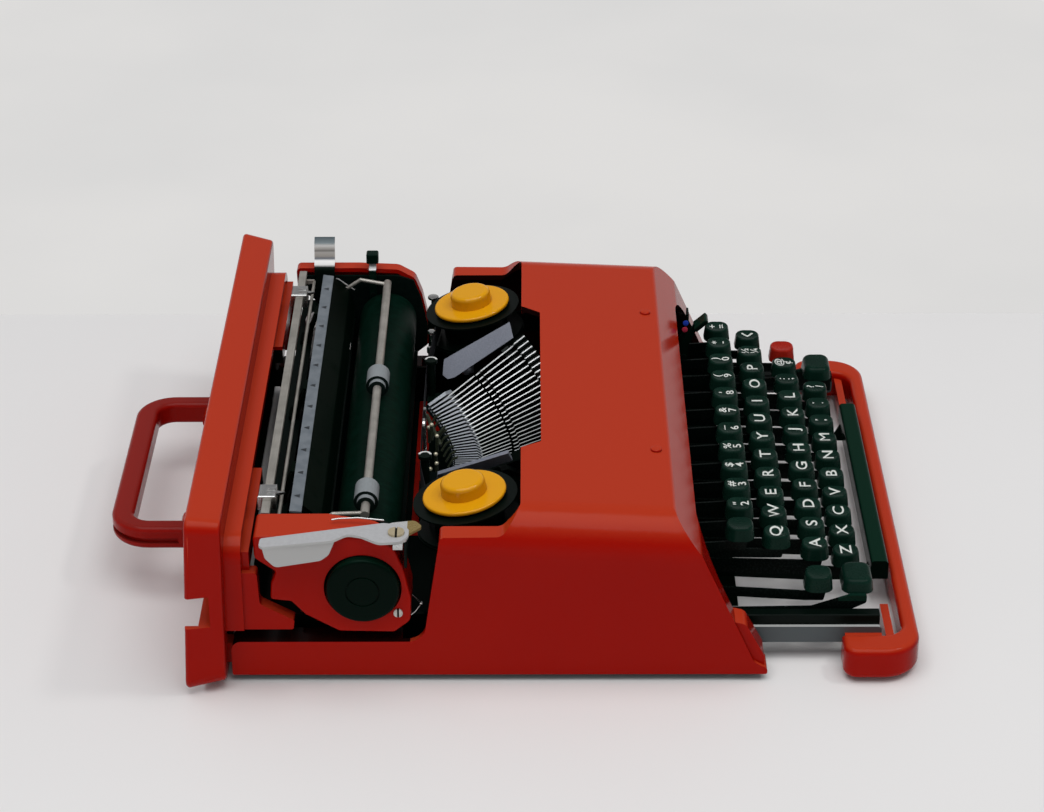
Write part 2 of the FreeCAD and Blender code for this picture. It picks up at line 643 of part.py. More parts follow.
def type_segment():
    ring = sector([(SEGMENT_RIM, SEGMENT_BACK), (SEGMENT_OUT, SEGMENT_BACK), (SEGMENT_OUT, SEGMENT_TOP),
                   (48.8, SEGMENT_TOP), (SEGMENT_RIM, -4.2)], SEGMENT_SPAN)
    slots = []
    for angle in bar_angles():
        slot = box(-BAR_T / 2 - 0.12, BAR_T / 2 + 0.12, -SLOT_END, -SEGMENT_RIM + 2.0, SLOT_FLOOR,
                   SEGMENT_TOP + 2)
        slot.rotate(V(0, 0, 0), V(0, 0, 1), math.degrees(angle))
        slots.append(slot)
    ring = to_basket(ring.cut(slots))
    foot = box(-14.0, 14.0, -124.0, -140.0, 7.4, 30.0)
    inside = Part.makeCylinder(SEGMENT_OUT - 1.0, 80.0, V(0, 0, SEGMENT_BACK + 0.5), V(0, 0, 1))
    return ring.fuse(foot.cut(to_basket(inside))).removeSplitter()


# One type bar in its slot, drawn at the bottom of the segment
def type_bar(swing):
    r = BAR_LENGTH
    outline = [(-r - 2.0, -1.5), (-r - 2.0, 1.5), (-6.0, 1.2), (-6.0, -1.3), (-r + 25.0, -1.3),
               (-r + 24.0, -0.3), (-r + 21.5, -0.3), (-r + 20.5, -1.5)]
    bar = along_x(outline, -BAR_T / 2, BAR_T / 2, [1.4, 1.4, 0, 0, 0, 0, 0, 0])
    neck = along_x([(-9.0, -1.4), (-9.0, 1.4), (1.5, 1.4), (1.5, -1.4)], -0.9, 0.9)
    slug = along_x([(-4.5, -3.9), (-4.5, 1.4), (3.5, 1.4), (3.5, -3.9)], -1.3, 1.3, [0.8, 0.8, 0.8, 0.8])
    body = fused([bar, neck, slug])
    body.rotate(V(0, -r, 0), V(1, 0, 0), math.degrees(swing))
    return body


def type_bars():
    bars = []
    for i, angle in enumerate(bar_angles()):
        if i == BAR_COUNT // 2:
            continue
        bar = type_bar(math.pi / 2.0 + BAR_FLARE)
        bar.rotate(V(0, 0, 0), V(0, 0, 1), math.degrees(angle))
        bars.append(to_basket(bar))
    return Part.makeCompound(bars)


def type_bar_g():
    return to_basket(type_bar(math.pi / 2.0 + BAR_FLARE))


def typebar_rest():
    back = 1.5 / math.cos(BAR_FLARE) + 0.5
    low = BAR_LENGTH + REST_LOW * math.tan(BAR_FLARE) + back
    high = BAR_LENGTH + REST_TOP * math.tan(BAR_FLARE) + back
    ring = sector([(low, REST_LOW), (low + 3.4, REST_LOW), (high + 3.4, REST_TOP), (high, REST_TOP)],
                  BAR_SPAN + math.radians(2.0))
    ring = to_basket(ring)
    foot = box(0.3, 2.1, -172.0, -180.0, 4.4, 48.0)
    clear = to_basket(Part.makeCylinder(low + 2.0, 90.0, V(0, 0, -30), V(0, 0, 1)))
    return ring.fuse(foot.cut(clear)).removeSplitter()


# Grey side wings of the basket
def basket_wings():
    corners = [V(48.0, -117.0, 62.0), V(51.5, -114.5, 62.5), V(60.0, -115.5, 66.8), V(69.5, -151.0, 84.6),
               V(64.5, -153.0, 77.6), V(49.0, -121.0, 62.6)]
    e1 = corners[3] - corners[2]
    e2 = corners[4] - corners[2]
    normal = e1.cross(e2)
    normal.normalize()
    flat = []
    for c in corners:
        flat.append(c - normal * (c - corners[2]).dot(normal))
    down = normal if normal.z < 0 else normal * -1
    plate = Part.Face(Part.makePolygon(flat + [flat[0]])).extrude(down * 1.8)
    strut = wire_path([V(61.5, -120.0, 66.0), V(68.0, -127.0, 55.0), V(90.0, -129.0, 44.0),
                       V(SIDE_X, -129.0, 44.0)], 2.0)
    strut = strut.cut(Part.Face(Part.makePolygon(flat + [flat[0]])).extrude(down * -8.0))
    return both(fused([plate, strut]))


# Ribbon deck under each spool, with the spool post
def spool_place(shape, side):
    placed = shape.copy()
    placed.rotate(V(0, 0, 0), V(1, 0, 0), -SPOOL_TILT)
    placed.translate(V(side * SPOOL_X, SPOOL_Y, SPOOL_Z))
    return placed


def ribbon_deck():
    pieces = []
    for side in (-1, 1):
        low = -4.3 - SPOOL_GAP - 0.9
        disc = rod(V(0, 0, low - 1.4), V(0, 0, low), FLANGE_RADIUS + 0.6)
        bridge = box(0.0, side * 24.0, -16.0, 14.0, low - 1.4, low)
        post = rod(V(0, 0, low - 0.7), V(0, 0, -4.6), 2.4)
        lug = box(side * 20.0, side * 25.0, -16.0, 10.0, low - 10.0, low - 1.0)
        piece = fused([disc, bridge, post, lug])
        piece = spool_place(piece, side)
        piece = piece.common(box(-SIDE_X, SIDE_X, -200.0, 0.0, 0.0, 120.0))
        pieces.append(piece)
    return Part.makeCompound(pieces)


def spool(side):
    top = rod(V(0, 0, -4.0), V(0, 0, -3.1), FLANGE_RADIUS)
    base = -4.0 - SPOOL_GAP
    low = rod(V(0, 0, base - 0.9), V(0, 0, base), FLANGE_RADIUS)
    core = rod(V(0, 0, base - 0.4), V(0, 0, -3.5), COIL_RADIUS)
    body = fused([top, low, core])
    body = body.cut(rod(V(0, 0, -30.0), V(0, 0, -4.4), 2.4 + RUN))
    return spool_place(body, side)


def spool_cap(side):
    disc = rod(V(0, 0, -2.3), V(0, 0, 0.0), CAP_RADIUS)
    edge = [e for e in disc.Edges if e.Length > 20 and e.BoundBox.ZLength < 0.01]
    disc = disc.makeFillet(1.1, edge)
    foot = rod(V(0, 0, -3.1), V(0, 0, -1.0), CAP_RADIUS - 3.5)
    knob = Part.makeCone(KNOB_RADIUS + 0.6, KNOB_RADIUS, 7.6, V(0, 0, -0.6), V(0, 0, 1))
    rim = [e for e in knob.Edges if e.BoundBox.ZMin > 6.9]
    knob = knob.makeFillet(2.4, rim)
    return spool_place(fused([disc, foot, knob]), side)


# Guide posts for the ribbon, standing on the segment ends
def ribbon_guides():
    post = rod(V(GUIDE_X, GUIDE_Y, 46.0), V(GUIDE_X, GUIDE_Y, 71.5), 2.2)
    collar = rod(V(GUIDE_X, GUIDE_Y, 69.6), V(GUIDE_X, GUIDE_Y, 71.5), 3.4)
    foot = box(43.0, GUIDE_X + 2.2, GUIDE_Y - 6.0, GUIDE_Y + 2.2, 46.0, 50.0)
    room = [(SEGMENT_RIM - 2.0, SEGMENT_BACK - 8.0), (SEGMENT_OUT + 2.0, SEGMENT_BACK - 8.0),
            (SEGMENT_OUT + 2.0, SEGMENT_TOP + 8.0), (SEGMENT_RIM - 2.0, SEGMENT_TOP + 8.0)]
    piece = fused([post, collar, foot]).cut(to_basket(sector(room, SEGMENT_SPAN)))
    return both(piece)


# Ribbon between the spools, a thin band that runs behind the guide posts
def ribbon_strip():
    t = 0.12
    half = [(104.4, -112.6, 61.2, 73.0), (84.0, -110.2, 61.0, 72.8), (51.0, -106.4, 54.4, 66.6),
            (11.0, -105.5, 47.6, 59.8)]
    stations = [(-x, y, lo, hi) for x, y, lo, hi in half] + list(reversed(half))
    wires = []
    for x, y, lo, hi in stations:
        pts = [V(x, y, lo), V(x, y + t, lo), V(x, y + t, hi), V(x, y, hi)]
        wires.append(Part.makePolygon(pts + [pts[0]]))
    return Part.makeLoft(wires, True, True)


def ribbon_vibrator():
    outer = along_y(rectangle(-9.5, 9.5, 34.0, 66.5), -107.4, -106.2, [1, 1, 3, 3])
    inner = along_y(rectangle(-4.7, 4.7, 38.0, 80.0), -108.0, -105.0, [2, 2, 0, 0])
    stem = box(-2.5, 2.5, -107.4, -106.2, 12.0, 34.5)
    return fused([outer.cut(inner), stem])


# Ribbon colour selector with its mark plate
def ribbon_selector():
    tip = box(-5.0, 5.0, -1.3, 1.3, 0.0, 9.0)
    tip = tip.makeFillet(0.8, tip.Edges)
    tip.rotate(V(0, 0, 0), V(1, 0, 0), 48)
    tip.translate(V(94.0, -252.6, 68.5))
    stem = along_x([(-245.0, 48.0), (-245.0, 58.0), (-252.5, 71.0), (-254.5, 69.5), (-249.5, 58.0),
                    (-249.0, 48.0)],
                   92.8, 95.2, [2.0, 1, 0, 0, 1, 2.0])
    bore = rod(V(90.0, -247.0, 51.0), V(98.0, -247.0, 51.0), 1.5 + RUN)
    return tip.fuse(stem).cut(bore)


def selector_plate():
    plate = along_x([(-248.4, 62.0), (-248.4, 74.5), (-249.6, 74.5), (-249.6, 62.0)], 97.5, 106.0)
    arm = along_x([(-240.0, 46.0), (-240.0, 54.0), (-248.4, 66.0), (-249.6, 66.0), (-249.6, 62.0),
                   (-244.0, 50.0)],
                  97.5, 98.9)
    pin = rod(V(91.5, -247.0, 51.0), V(98.0, -247.0, 51.0), 1.5)
    bracket = box(97.5, 98.9, COMB_Y - 1.0, -249.5, 46.0, 53.5)
    ear = box(95.2, 98.9, COMB_Y - 1.0, COMB_Y - 2.6, 46.0, 53.5)
    return fused([plate, arm, pin, bracket, ear])


# Carriage end covers: hollow caps cut to the carriage outline
def cover_outline():
    pts = [(-30.6, COVER_TOP), (-31.0, 70.5), (-33.2, 68.5), (-40.8, 62.8), (-38.2, 55.8), (-37.6, 47.2),
           (-47.4, 46.0), (-54.0, 38.5), (-70.0, 29.0), (-96.5, 28.4), (-104.5, 35.0), (-105.0, 47.5),
           (-101.2, 66.0), (-97.3, 76.4), (-88.0, 81.8), (-66.0, COVER_TOP)]
    radii = [2.5, 1.0, 1.5, 1.5, 2.0, 1.5, 2.0, 2.0, 4.0, 3.0, 5.0, 8.0, 8.0, 6.0, 8.0, 10.0]
    return pts, radii


def inset(points, d):
    out = []
    n = len(points)
    area = sum(points[i - 1][0] * points[i][1] - points[i][0] * points[i - 1][1] for i in range(n))
    d = d if area > 0 else -d
    for i in range(n):
        p = V(points[i][0], points[i][1], 0)
        a = p - V(points[i - 1][0], points[i - 1][1], 0)
        b = V(points[(i + 1) % n][0], points[(i + 1) % n][1], 0) - p
        a.normalize()
        b.normalize()
        na = V(-a.y, a.x, 0)
        nb = V(-b.y, b.x, 0)
        m = na + nb
        m.normalize()
        k = d / max(m.dot(na), 0.5)
        q = p + m * k
        out.append((q.x, q.y))
    return out


def end_cover(side, inner):
    pts, radii = cover_outline()
    outer = along_x(pts, inner, CARRIAGE_HALF, radii)
    face_edges = [e for e in outer.Edges if e.BoundBox.XMin > CARRIAGE_HALF - 0.01]
    outer = outer.makeFillet(1.4, face_edges)
    hollow = along_x(inset(pts, 2.4), inner - 1.0, CARRIAGE_HALF - 2.4, 0.0)
    body = outer.cut(hollow)
    hole = rod(V(inner - 5, PLATEN_Y, PLATEN_Z), V(CARRIAGE_HALF + 5, PLATEN_Y, PLATEN_Z), KNOB_R + 1.0)
    body = body.cut(hole)
    boss = rod(V(inner - 0.2, -98.6, 40.0), V(CARRIAGE_HALF - 1.0, -98.6, 40.0), 2.6)
    body = body.fuse(boss)
    body = body.cut(rod(V(inner - 1, -98.6, 40.0), V(CARRIAGE_HALF + 1, -98.6, 40.0), 1.2 + RUN))
    if side < 0:
        body = mirrored(body)
    return body.removeSplitter()


def left_end_cover():
    body = end_cover(-1, COVER_IN_LEFT)
    taper = along_z([(-COVER_IN_LEFT + 9, -62.0), (-COVER_IN_LEFT - 0.3, -66.0), (-133.4, -93.0),
                     (-133.4, -110.0),
                     (-COVER_IN_LEFT + 9, -110.0)], 77.0, 90.0)
    return body.cut(taper)


def right_end_cover():
    body = end_cover(1, COVER_IN_RIGHT)
    return body


# Carriage frame: end plates, floor, rear beam and sliding shoes
def carriage_frame():
    left = LEFT_END
    right = RIGHT_END
    plate = inset(cover_outline()[0], 1.0)
    plate = [(y, min(z, COVER_TOP - 4.0)) for y, z in plate]
    shapes = []
    for x0, x1 in ((left, left + END_T), (right - END_T, right)):
        end = along_x(plate, x0, x1)
        bore = rod(V(x0 - 2, PLATEN_Y, PLATEN_Z), V(x1 + 2, PLATEN_Y, PLATEN_Z), SHAFT_R + RUN)
        shapes.append(end.cut(bore))
    shapes.append(box(left, right, -50.5, -98.0, FLOOR_LOW, FLOOR_TOP))
    shapes.append(box(left, right, -34.0, -40.5, 60.0, 63.0))
    shapes.append(box(left, right, -40.5, -42.0, 56.0, 63.0))
    body = fused(shapes + [lever_bracket()])
    for y in (ROD_BACK, ROD_FRONT):
        shoe = box(-20.0, 20.0, -y - 5.0, -y + 5.0, 17.5, FLOOR_LOW + 0.5)
        shoe = shoe.cut(rod(V(-21, -y, ROD_HEIGHT), V(21, -y, ROD_HEIGHT), ROD_RADIUS + RUN))
        body = body.fuse(shoe)
    for y, r in ((RELEASE_PIN, 1.4), (PAPER_PIN, 1.2)):
        body = body.fuse(rod(V(RIGHT_IN - 2.6, y, PIN_Z), V(right - 0.5, y, PIN_Z), r))
    roller = rod(V(left - 1, FEED_Y, FEED_Z), V(right + 1, FEED_Y, FEED_Z), 1.5 + RUN)
    return body.cut(roller).removeSplitter()


# Strap and pin that carry the return lever in front of the left cover
def lever_bracket():
    x = LEVER_PIVOT.x
    y = LEVER_PIVOT.y
    z = LEVER_PIVOT.z
    ear = box(x - 2.7, x + 3.8, y + 2.9, -103.4, z - 2.9, z - 1.45)
    strap = box(x - 1.7, x + 3.8, -102.2, -103.4, 66.0, z - 1.45)
    arm = box(x - 1.7, LEFT_END + END_T, -102.2, -103.4, 66.0, 72.0)
    tab = box(LEFT_END, LEFT_END + END_T, -97.0, -103.4, 66.0, 72.0)
    pin = rod(V(x, y, z - 2.0), V(x, y, z + LEVER_T + 0.3), 2.0)
    head = rod(V(x, y, z + LEVER_T + 0.05), V(x, y, z + LEVER_T + 1.1), 3.9)
    head = head.cut(box(x - 5, x + 5, y - 0.4, y + 0.4, z + LEVER_T + 0.5, z + 4))
    return fused([ear, strap, arm, tab, pin, head])


def carriage_screws():
    pieces = []
    for side, inner in ((-1, COVER_IN_LEFT), (1, COVER_IN_RIGHT)):
        head = rod(V(side * (CARRIAGE_HALF + 0.05), -98.6, 40.0),
                   V(side * (CARRIAGE_HALF + 1.1), -98.6, 40.0), 2.2)
        slot = box(side * (CARRIAGE_HALF + 0.6), side * (CARRIAGE_HALF + 2.0), -98.9, -98.3, 37.0, 43.0)
        stem = rod(V(side * (inner - 0.2), -98.6, 40.0), V(side * (CARRIAGE_HALF + 0.3), -98.6, 40.0), 1.2)
        pieces.append(head.cut(slot).fuse(stem).removeSplitter())
    return Part.makeCompound(pieces)


# Platen, shaft with ratchet, knobs and feed rollers
def platen():
    body = rod(V(PLATEN_LEFT, PLATEN_Y, PLATEN_Z), V(PLATEN_RIGHT, PLATEN_Y, PLATEN_Z), PLATEN_R)
    body = body.makeFillet(0.6, [e for e in body.Edges if e.Length > 60 and e.BoundBox.XLength < 1])
    return body.cut(rod(V(-140, PLATEN_Y, PLATEN_Z), V(150, PLATEN_Y, PLATEN_Z), SHAFT_R))


def platen_shaft():
    shaft = rod(V(-134.0, PLATEN_Y, PLATEN_Z), V(144.4, PLATEN_Y, PLATEN_Z), SHAFT_R)
    teeth = 30
    pts = []
    for i in range(teeth):
        a = 2 * math.pi * i / teeth
        b = a + 2 * math.pi * 0.55 / teeth
        pts.append((PLATEN_Y + 15.4 * math.cos(a), PLATEN_Z + 15.4 * math.sin(a)))
        pts.append((PLATEN_Y + 13.6 * math.cos(b), PLATEN_Z + 13.6 * math.sin(b)))
    wheel = along_x(pts, -124.8, -122.4)
    return shaft.fuse(wheel).removeSplitter()


def platen_knobs():
    pieces = []
    for side, inner, hub in ((-1, 130.0, 134.5), (1, 140.4, 145.0)):
        knob = rod(V(side * inner, PLATEN_Y, PLATEN_Z), V(side * KNOB_OUT, PLATEN_Y, PLATEN_Z), KNOB_R)
        outer_edge = [e for e in knob.Edges if e.BoundBox.XLength < 0.01 and e.Length > 60
                      and abs(e.BoundBox.XMin - side * KNOB_OUT) < 0.01]
        knob = knob.makeFillet(2.0, outer_edge)
        ring = rod(V(side * (KNOB_OUT - 0.8), PLATEN_Y, PLATEN_Z),
                   V(side * (KNOB_OUT + 1), PLATEN_Y, PLATEN_Z), 8.3)
        core = rod(V(side * (KNOB_OUT - 0.8), PLATEN_Y, PLATEN_Z),
                   V(side * (KNOB_OUT + 1), PLATEN_Y, PLATEN_Z), 7.6)
        knob = knob.cut(ring.cut(core))
        bore = rod(V(side * (inner - 1), PLATEN_Y, PLATEN_Z), V(side * hub, PLATEN_Y, PLATEN_Z), SHAFT_R)
        pieces.append(knob.cut(bore))
    return Part.makeCompound(pieces)


def feed_rollers():
    left = LEFT_END
    right = RIGHT_END
    body = rod(V(left - 0.8, FEED_Y, FEED_Z), V(right + 0.8, FEED_Y, FEED_Z), 1.5)
    for x in (-85.0, 5.0, 95.0):
        body = body.fuse(rod(V(x - 16, FEED_Y, FEED_Z), V(x + 16, FEED_Y, FEED_Z), FEED_R))
    return body.removeSplitter()


def paper_pan():
    x0 = -119.0
    x1 = 132.0
    big = Part.makeCylinder(19.6, x1 - x0, V(x0, PLATEN_Y, PLATEN_Z), V(1, 0, 0))
    small = Part.makeCylinder(18.6, x1 - x0 + 2, V(x0 - 1, PLATEN_Y, PLATEN_Z), V(1, 0, 0))
    ring = big.cut(small)
    keep = along_x([(PLATEN_Y, PLATEN_Z), (PLATEN_Y - 8.0, 20.0), (-20.0, 20.0), (-20.0, 58.0)], x0 - 1,
                   x1 + 1)
    arc = ring.common(keep)
    legs = [arc]
    for x in (-90.0, 5.0, 100.0):
        legs.append(box(x - 5, x + 5, PLATEN_Y + 5.0, PLATEN_Y + 7.0, FLOOR_TOP, 36.0))
    body = fused(legs)
    return body


# Paper table behind the platen with its scale strip
def paper_table():
    pts = [(-46.2, 80.6), (-46.2, 81.8), (-52.6, 81.4), (-61.0, 74.0), (-63.6, 64.0), (-62.4, 63.6),
           (-60.0, 73.2), (-52.2, 80.2)]
    parts = [along_x(pts, -117.5, 129.0, [0, 0.5, 1, 2, 0, 0, 2, 1])]
    leg = [(-46.6, 80.8), (-40.2, 63.0), (-36.0, 63.0), (-36.0, 65.0), (-38.8, 65.6), (-44.6, 80.8)]
    for x in (-80.0, 5.0, 90.0):
        parts.append(along_x(leg, x - 5.0, x + 5.0))
        parts.append(box(x - 5.0, x + 5.0, -44.0, -47.5, 80.6, 81.6))
    return fused(parts)


def paper_scale():
    pts = [(-46.4, 81.85), (-46.4, 82.7), (-52.2, 82.3), (-52.2, 81.45)]
    strip = along_x(pts, -124.5, 131.5, 0.0)
    end = along_z([(129.0, -60.0), (132.0, -60.0), (132.0, -46.0), (131.6, -46.0)], 78.0, 90.0)
    return strip.cut(end)


# Margin rail with two sliding stops
def margin_rail():
    left = LEFT_END
    right = RIGHT_END
    bar = box(left + END_T, right - END_T, MARGIN_Y - 2.0, MARGIN_Y + 2.0, MARGIN_Z - 3.0, MARGIN_Z)
    post_l = box(left + END_T, left + END_T + 5.0, MARGIN_Y - 1.2, MARGIN_Y + 1.2, 63.0, MARGIN_Z - 2.9)
    post_r = box(right - END_T - 5.0, right - END_T, MARGIN_Y - 1.2, MARGIN_Y + 1.2, 63.0, MARGIN_Z - 2.9)
    low = left + END_T + 1.0
    high = RIGHT_IN - 6.0
    wire = rod(V(low, MARGIN_Y - 6.2, MARGIN_Z - 4.5), V(high + 1.6, MARGIN_Y - 6.2, MARGIN_Z - 4.5), 0.9)
    ties = [box(x, x + 1.6, MARGIN_Y, MARGIN_Y - 6.4, MARGIN_Z - 5.2, MARGIN_Z - 3.0) for x in (low, high)]
    return fused([bar, post_l, post_r, wire] + ties)


def margin_stop(x):
    body = box(x - 6.0, x + 6.0, MARGIN_Y - 4.4, MARGIN_Y + 4.4, MARGIN_Z - 5.0, MARGIN_Z + 2.6)
    top = [e for e in body.Edges if e.BoundBox.ZMin > MARGIN_Z + 2.5]
    body = body.makeFillet(0.8, top)
    slot = box(x - 7.0, x + 7.0, MARGIN_Y - 2.0 - RUN, MARGIN_Y + 2.0 + RUN, MARGIN_Z - 3.0 - RUN,
               MARGIN_Z + RUN)
    pointer = along_z([(x - 1.6, MARGIN_Y - 4.0), (x + 1.6, MARGIN_Y - 4.0), (x, MARGIN_Y - 8.6)],
                      MARGIN_Z + 0.4, MARGIN_Z + 1.6)
    return fused([body.cut(slot), pointer])


# Paper bail: rod, two bent arms, and its rollers
def paper_bail():
    left, right = BAIL_ARMS
    main = rod(V(BAIL_LEFT, BAIL_Y, BAIL_Z), V(BAIL_RIGHT, BAIL_Y, BAIL_Z), BAIL_ROD_R)
    knee = V(0, -67.0, 79.0)
    arms = []
    for end, x in ((BAIL_LEFT + 2, left), (BAIL_RIGHT - 2, right)):
        arms.append(wire_path([V(end, BAIL_Y, BAIL_Z), V(x, knee.y, knee.z),
                               V(x, BAIL_PIVOT.y, BAIL_PIVOT.z)], 1.1))
    tube = rod(V(LEFT_END + END_T, BAIL_PIVOT.y, BAIL_PIVOT.z), V(RIGHT_IN, BAIL_PIVOT.y, BAIL_PIVOT.z), 1.5)
    return fused([main, tube] + arms)


def bail_rollers():
    pieces = []
    for x in (-99.5, 18.5):
        roll = rod(V(x - 5.5, BAIL_Y, BAIL_Z), V(x + 8.0, BAIL_Y, BAIL_Z), BAIL_ROLL_R)
        hub = rod(V(x - 8.5, BAIL_Y, BAIL_Z), V(x - 5.5, BAIL_Y, BAIL_Z), 4.4)
        roll = roll.fuse(hub).removeSplitter()
        pieces.append(roll.cut(rod(V(x - 15, BAIL_Y, BAIL_Z), V(x + 15, BAIL_Y, BAIL_Z), BAIL_ROD_R + RUN)))
    return Part.makeCompound(pieces)


# Return lever and line space lever on one pivot screw
def return_lever():
    z0 = LEVER_PIVOT.z
    flat = [(-138.6, -92.0), (-140.2, -101.5), (-144.5, -104.6), (-150.0, -104.6), (-155.6, -101.0),
            (-156.6, -90.5),
            (-150.4, -82.0), (-148.6, -75.5), (-154.4, -69.0), (-160.4, -36.5), (-158.6, -34.6),
            (-152.4, -34.8)]
    top = along_z(flat, z0, z0 + LEVER_T, [6.0, 4.0, 4.0, 4.0, 4.0, 6.0, 6.0, 4.0, 4.0, 1.5, 1.5, 1.5])
    paddle = along_x([(-36.2, z0 + LEVER_T), (-37.4, z0 - 5.0), (-42.0, z0 - 10.6), (-63.5, z0 - 9.6),
                      (-67.5, z0 - 7.0), (-71.0, z0 + LEVER_T)], -160.4, -159.1, [1, 4.0, 4.0, 4.0, 4.0, 0])
    paddle.rotate(V(-160.4, -36.2, 0), V(0, 0, 1), 11.5)
    paddle = paddle.common(box(-170, -140, -72.5, -30, 60, 90))
    body = fused([top, paddle])
    bore = rod(V(LEVER_PIVOT.x, LEVER_PIVOT.y, 70), V(LEVER_PIVOT.x, LEVER_PIVOT.y, 95), 2.0 + RUN)
    return body.cut(bore)


def line_space_lever():
    z0 = LEVER_PIVOT.z - 1.4
    flat = [(-136.5, -94.0), (-133.9, -107.0), (-139.5, -111.0), (-146.0, -104.5), (-152.0, -103.5),
            (-153.0, -96.5)]
    body = along_z(flat, z0, z0 + 1.3, [3.0, 3.0, 2.5, 3.0, 3.0, 3.0])
    tab = box(-158.5, -150.5, -97.5, -102.0, z0, z0 + 1.3)
    bore = rod(V(LEVER_PIVOT.x, LEVER_PIVOT.y, 70), V(LEVER_PIVOT.x, LEVER_PIVOT.y, 95), 2.0 + RUN)
    return fused([body, tab]).cut(bore)


# Levers at the right end of the carriage
def carriage_release_lever():
    x0 = RIGHT_IN - 1.9
    x1 = RIGHT_IN - 0.5
    pts = [(x0, 66.0), (x1, 66.0), (x1, 82.5), (141.9, 87.0), (143.8, 94.5), (147.6, 97.6), (146.8, 99.2),
           (142.2, 96.6), (140.0, 88.6), (x0, 84.0)]
    tab = along_y(pts, -41.0, -52.4, [0.6, 0.6, 2.0, 3.0, 3.0, 0.7, 0.7, 3.0, 3.0, 2.0])
    return tab.cut(rod(V(x0 - 3, RELEASE_PIN, PIN_Z), V(x1 + 3, RELEASE_PIN, PIN_Z), 1.4 + RUN))


def paper_release_lever():
    x0 = RIGHT_IN - 1.9
    x1 = RIGHT_IN - 0.5
    stem = along_y([(x0, 66.0), (x1, 66.0), (x1, 82.4), (141.0, 84.2), (141.0, 88.0), (139.8, 88.0),
                    (139.8, 85.4), (x0, 83.6)], -71.6, -75.6, [0.6, 0.6, 1, 1, 0, 0, 0.5, 1])
    tip = box(137.0, 143.2, -70.2, -77.0, 86.2, 92.4)
    tip = tip.makeFillet(1.0, tip.Edges)
    body = stem.fuse(tip)
    return body.cut(rod(V(x0 - 3, PAPER_PIN, PIN_Z), V(x1 + 3, PAPER_PIN, PIN_Z), 1.2 + RUN)).removeSplitter()


# Warning bell under the carriage
def bell():
    outer = Part.makeSphere(14.0, V(88.0, -72.0, 8.0))
    inner = Part.makeSphere(12.8, V(88.0, -72.0, 8.0))
    cup = outer.cut(inner).common(box(60, 120, -100, -40, 8.0, 16.5))
    post = rod(V(88.0, -72.0, 4.4), V(88.0, -72.0, 16.8), 2.0)
    roof = rod(V(88.0, -72.0, 15.6), V(88.0, -72.0, 16.8), 12.0)
    return fused([cup, roof, post])


# Mainspring drum that pulls the carriage
def mainspring_drum():
    drum = rod(V(DRUM_X, DRUM_Y, 6.2), V(DRUM_X, DRUM_Y, 14.0), 17.0)
    drum = drum.makeFillet(1.0, [e for e in drum.Edges if e.Length > 60])
    groove = rod(V(DRUM_X, DRUM_Y, 9.4), V(DRUM_X, DRUM_Y, 10.8), 18.0).cut(
        rod(V(DRUM_X, DRUM_Y, 9.0), V(DRUM_X, DRUM_Y, 11.0), 16.0))
    drum = drum.cut(groove)
    return drum.cut(rod(V(DRUM_X, DRUM_Y, 4.0), V(DRUM_X, DRUM_Y, 15.0), 2.5 + RUN))


if __name__ == "__main__":
    save("back_plate", back_plate())
    save("handle", handle())
    save("top_cover", top_cover())
    save("cover_rivets", cover_rivets())
    save("base_pan", base_pan())
    save("rubber_feet", rubber_feet())
    save("front_bumper", front_bumper())
    save("chassis_sides", chassis_sides())
    save("chassis_cross_bars", chassis_cross_bars())
    save("carriage_rails", carriage_rails())
    save("key_comb", key_comb())
    save("key_pivot_rod", key_pivot_rod())
    save("keys_number_row", key_row(0))
    save("keys_top_row", key_row(1))
    save("keys_home_row", key_row(2, 4))
    save("keys_bottom_row", key_row(3))
    save("key_g", single_key(2, 4))
    save("margin_release_key", margin_release_key())
    save("backspace_key", backspace_key())
    save("tab_key", tab_key())
    save("shift_lock_key", shift_lock_key())
    save("shift_keys", shift_keys())
    save("space_bar", space_bar())
    save("type_segment", type_segment())
    save("typebars", type_bars())
    save("typebar_g", type_bar_g())
    save("typebar_rest", typebar_rest())
    save("basket_wings", basket_wings())
    save("ribbon_deck", ribbon_deck())
    save("spool_left", spool(-1))
    save("spool_right", spool(1))
    save("spool_cap_left", spool_cap(-1))
    save("spool_cap_right", spool_cap(1))
    save("ribbon_guides", ribbon_guides())
    save("ribbon_strip", ribbon_strip())
    save("ribbon_vibrator", ribbon_vibrator())
    save("ribbon_selector", ribbon_selector())
    save("selector_plate", selector_plate())
    save("left_end_cover", left_end_cover())
    save("right_end_cover", right_end_cover())
    save("carriage_frame", carriage_frame())
    save("carriage_screws", carriage_screws())
    save("platen", platen())
    save("platen_shaft", platen_shaft())
    save("platen_knobs", platen_knobs())
    save("feed_rollers", feed_rollers())
    save("paper_pan", paper_pan())
    save("paper_table", paper_table())
    save("paper_scale", paper_scale())
    save("margin_rail", margin_rail())
    save("margin_stop_left", margin_stop(-108.2))
    save("margin_stop_right", margin_stop(108.2))
    save("paper_bail", paper_bail())
    save("bail_rollers", bail_rollers())
    save("return_lever", return_lever())
    save("line_space_lever", line_space_lever())
    save("carriage_release_lever", carriage_release_lever())
    save("paper_release_lever", paper_release_lever())
    save("bell", bell())
    save("mainspring_drum", mainspring_drum())
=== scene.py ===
# %% [markdown]
# # A portable typewriter, dressed for the camera
# The machine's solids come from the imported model: shell, carriage, keys, type basket and handle. They hold
# every size and every joint, so they stay where they are. This lesson gives them their finishes, adds the
# small parts that a photograph shows and a solid model leaves out, and lights the whole on a pale table.

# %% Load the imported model
import bpy
import bmesh
import math
from mathutils import Matrix, Quaternion, Vector


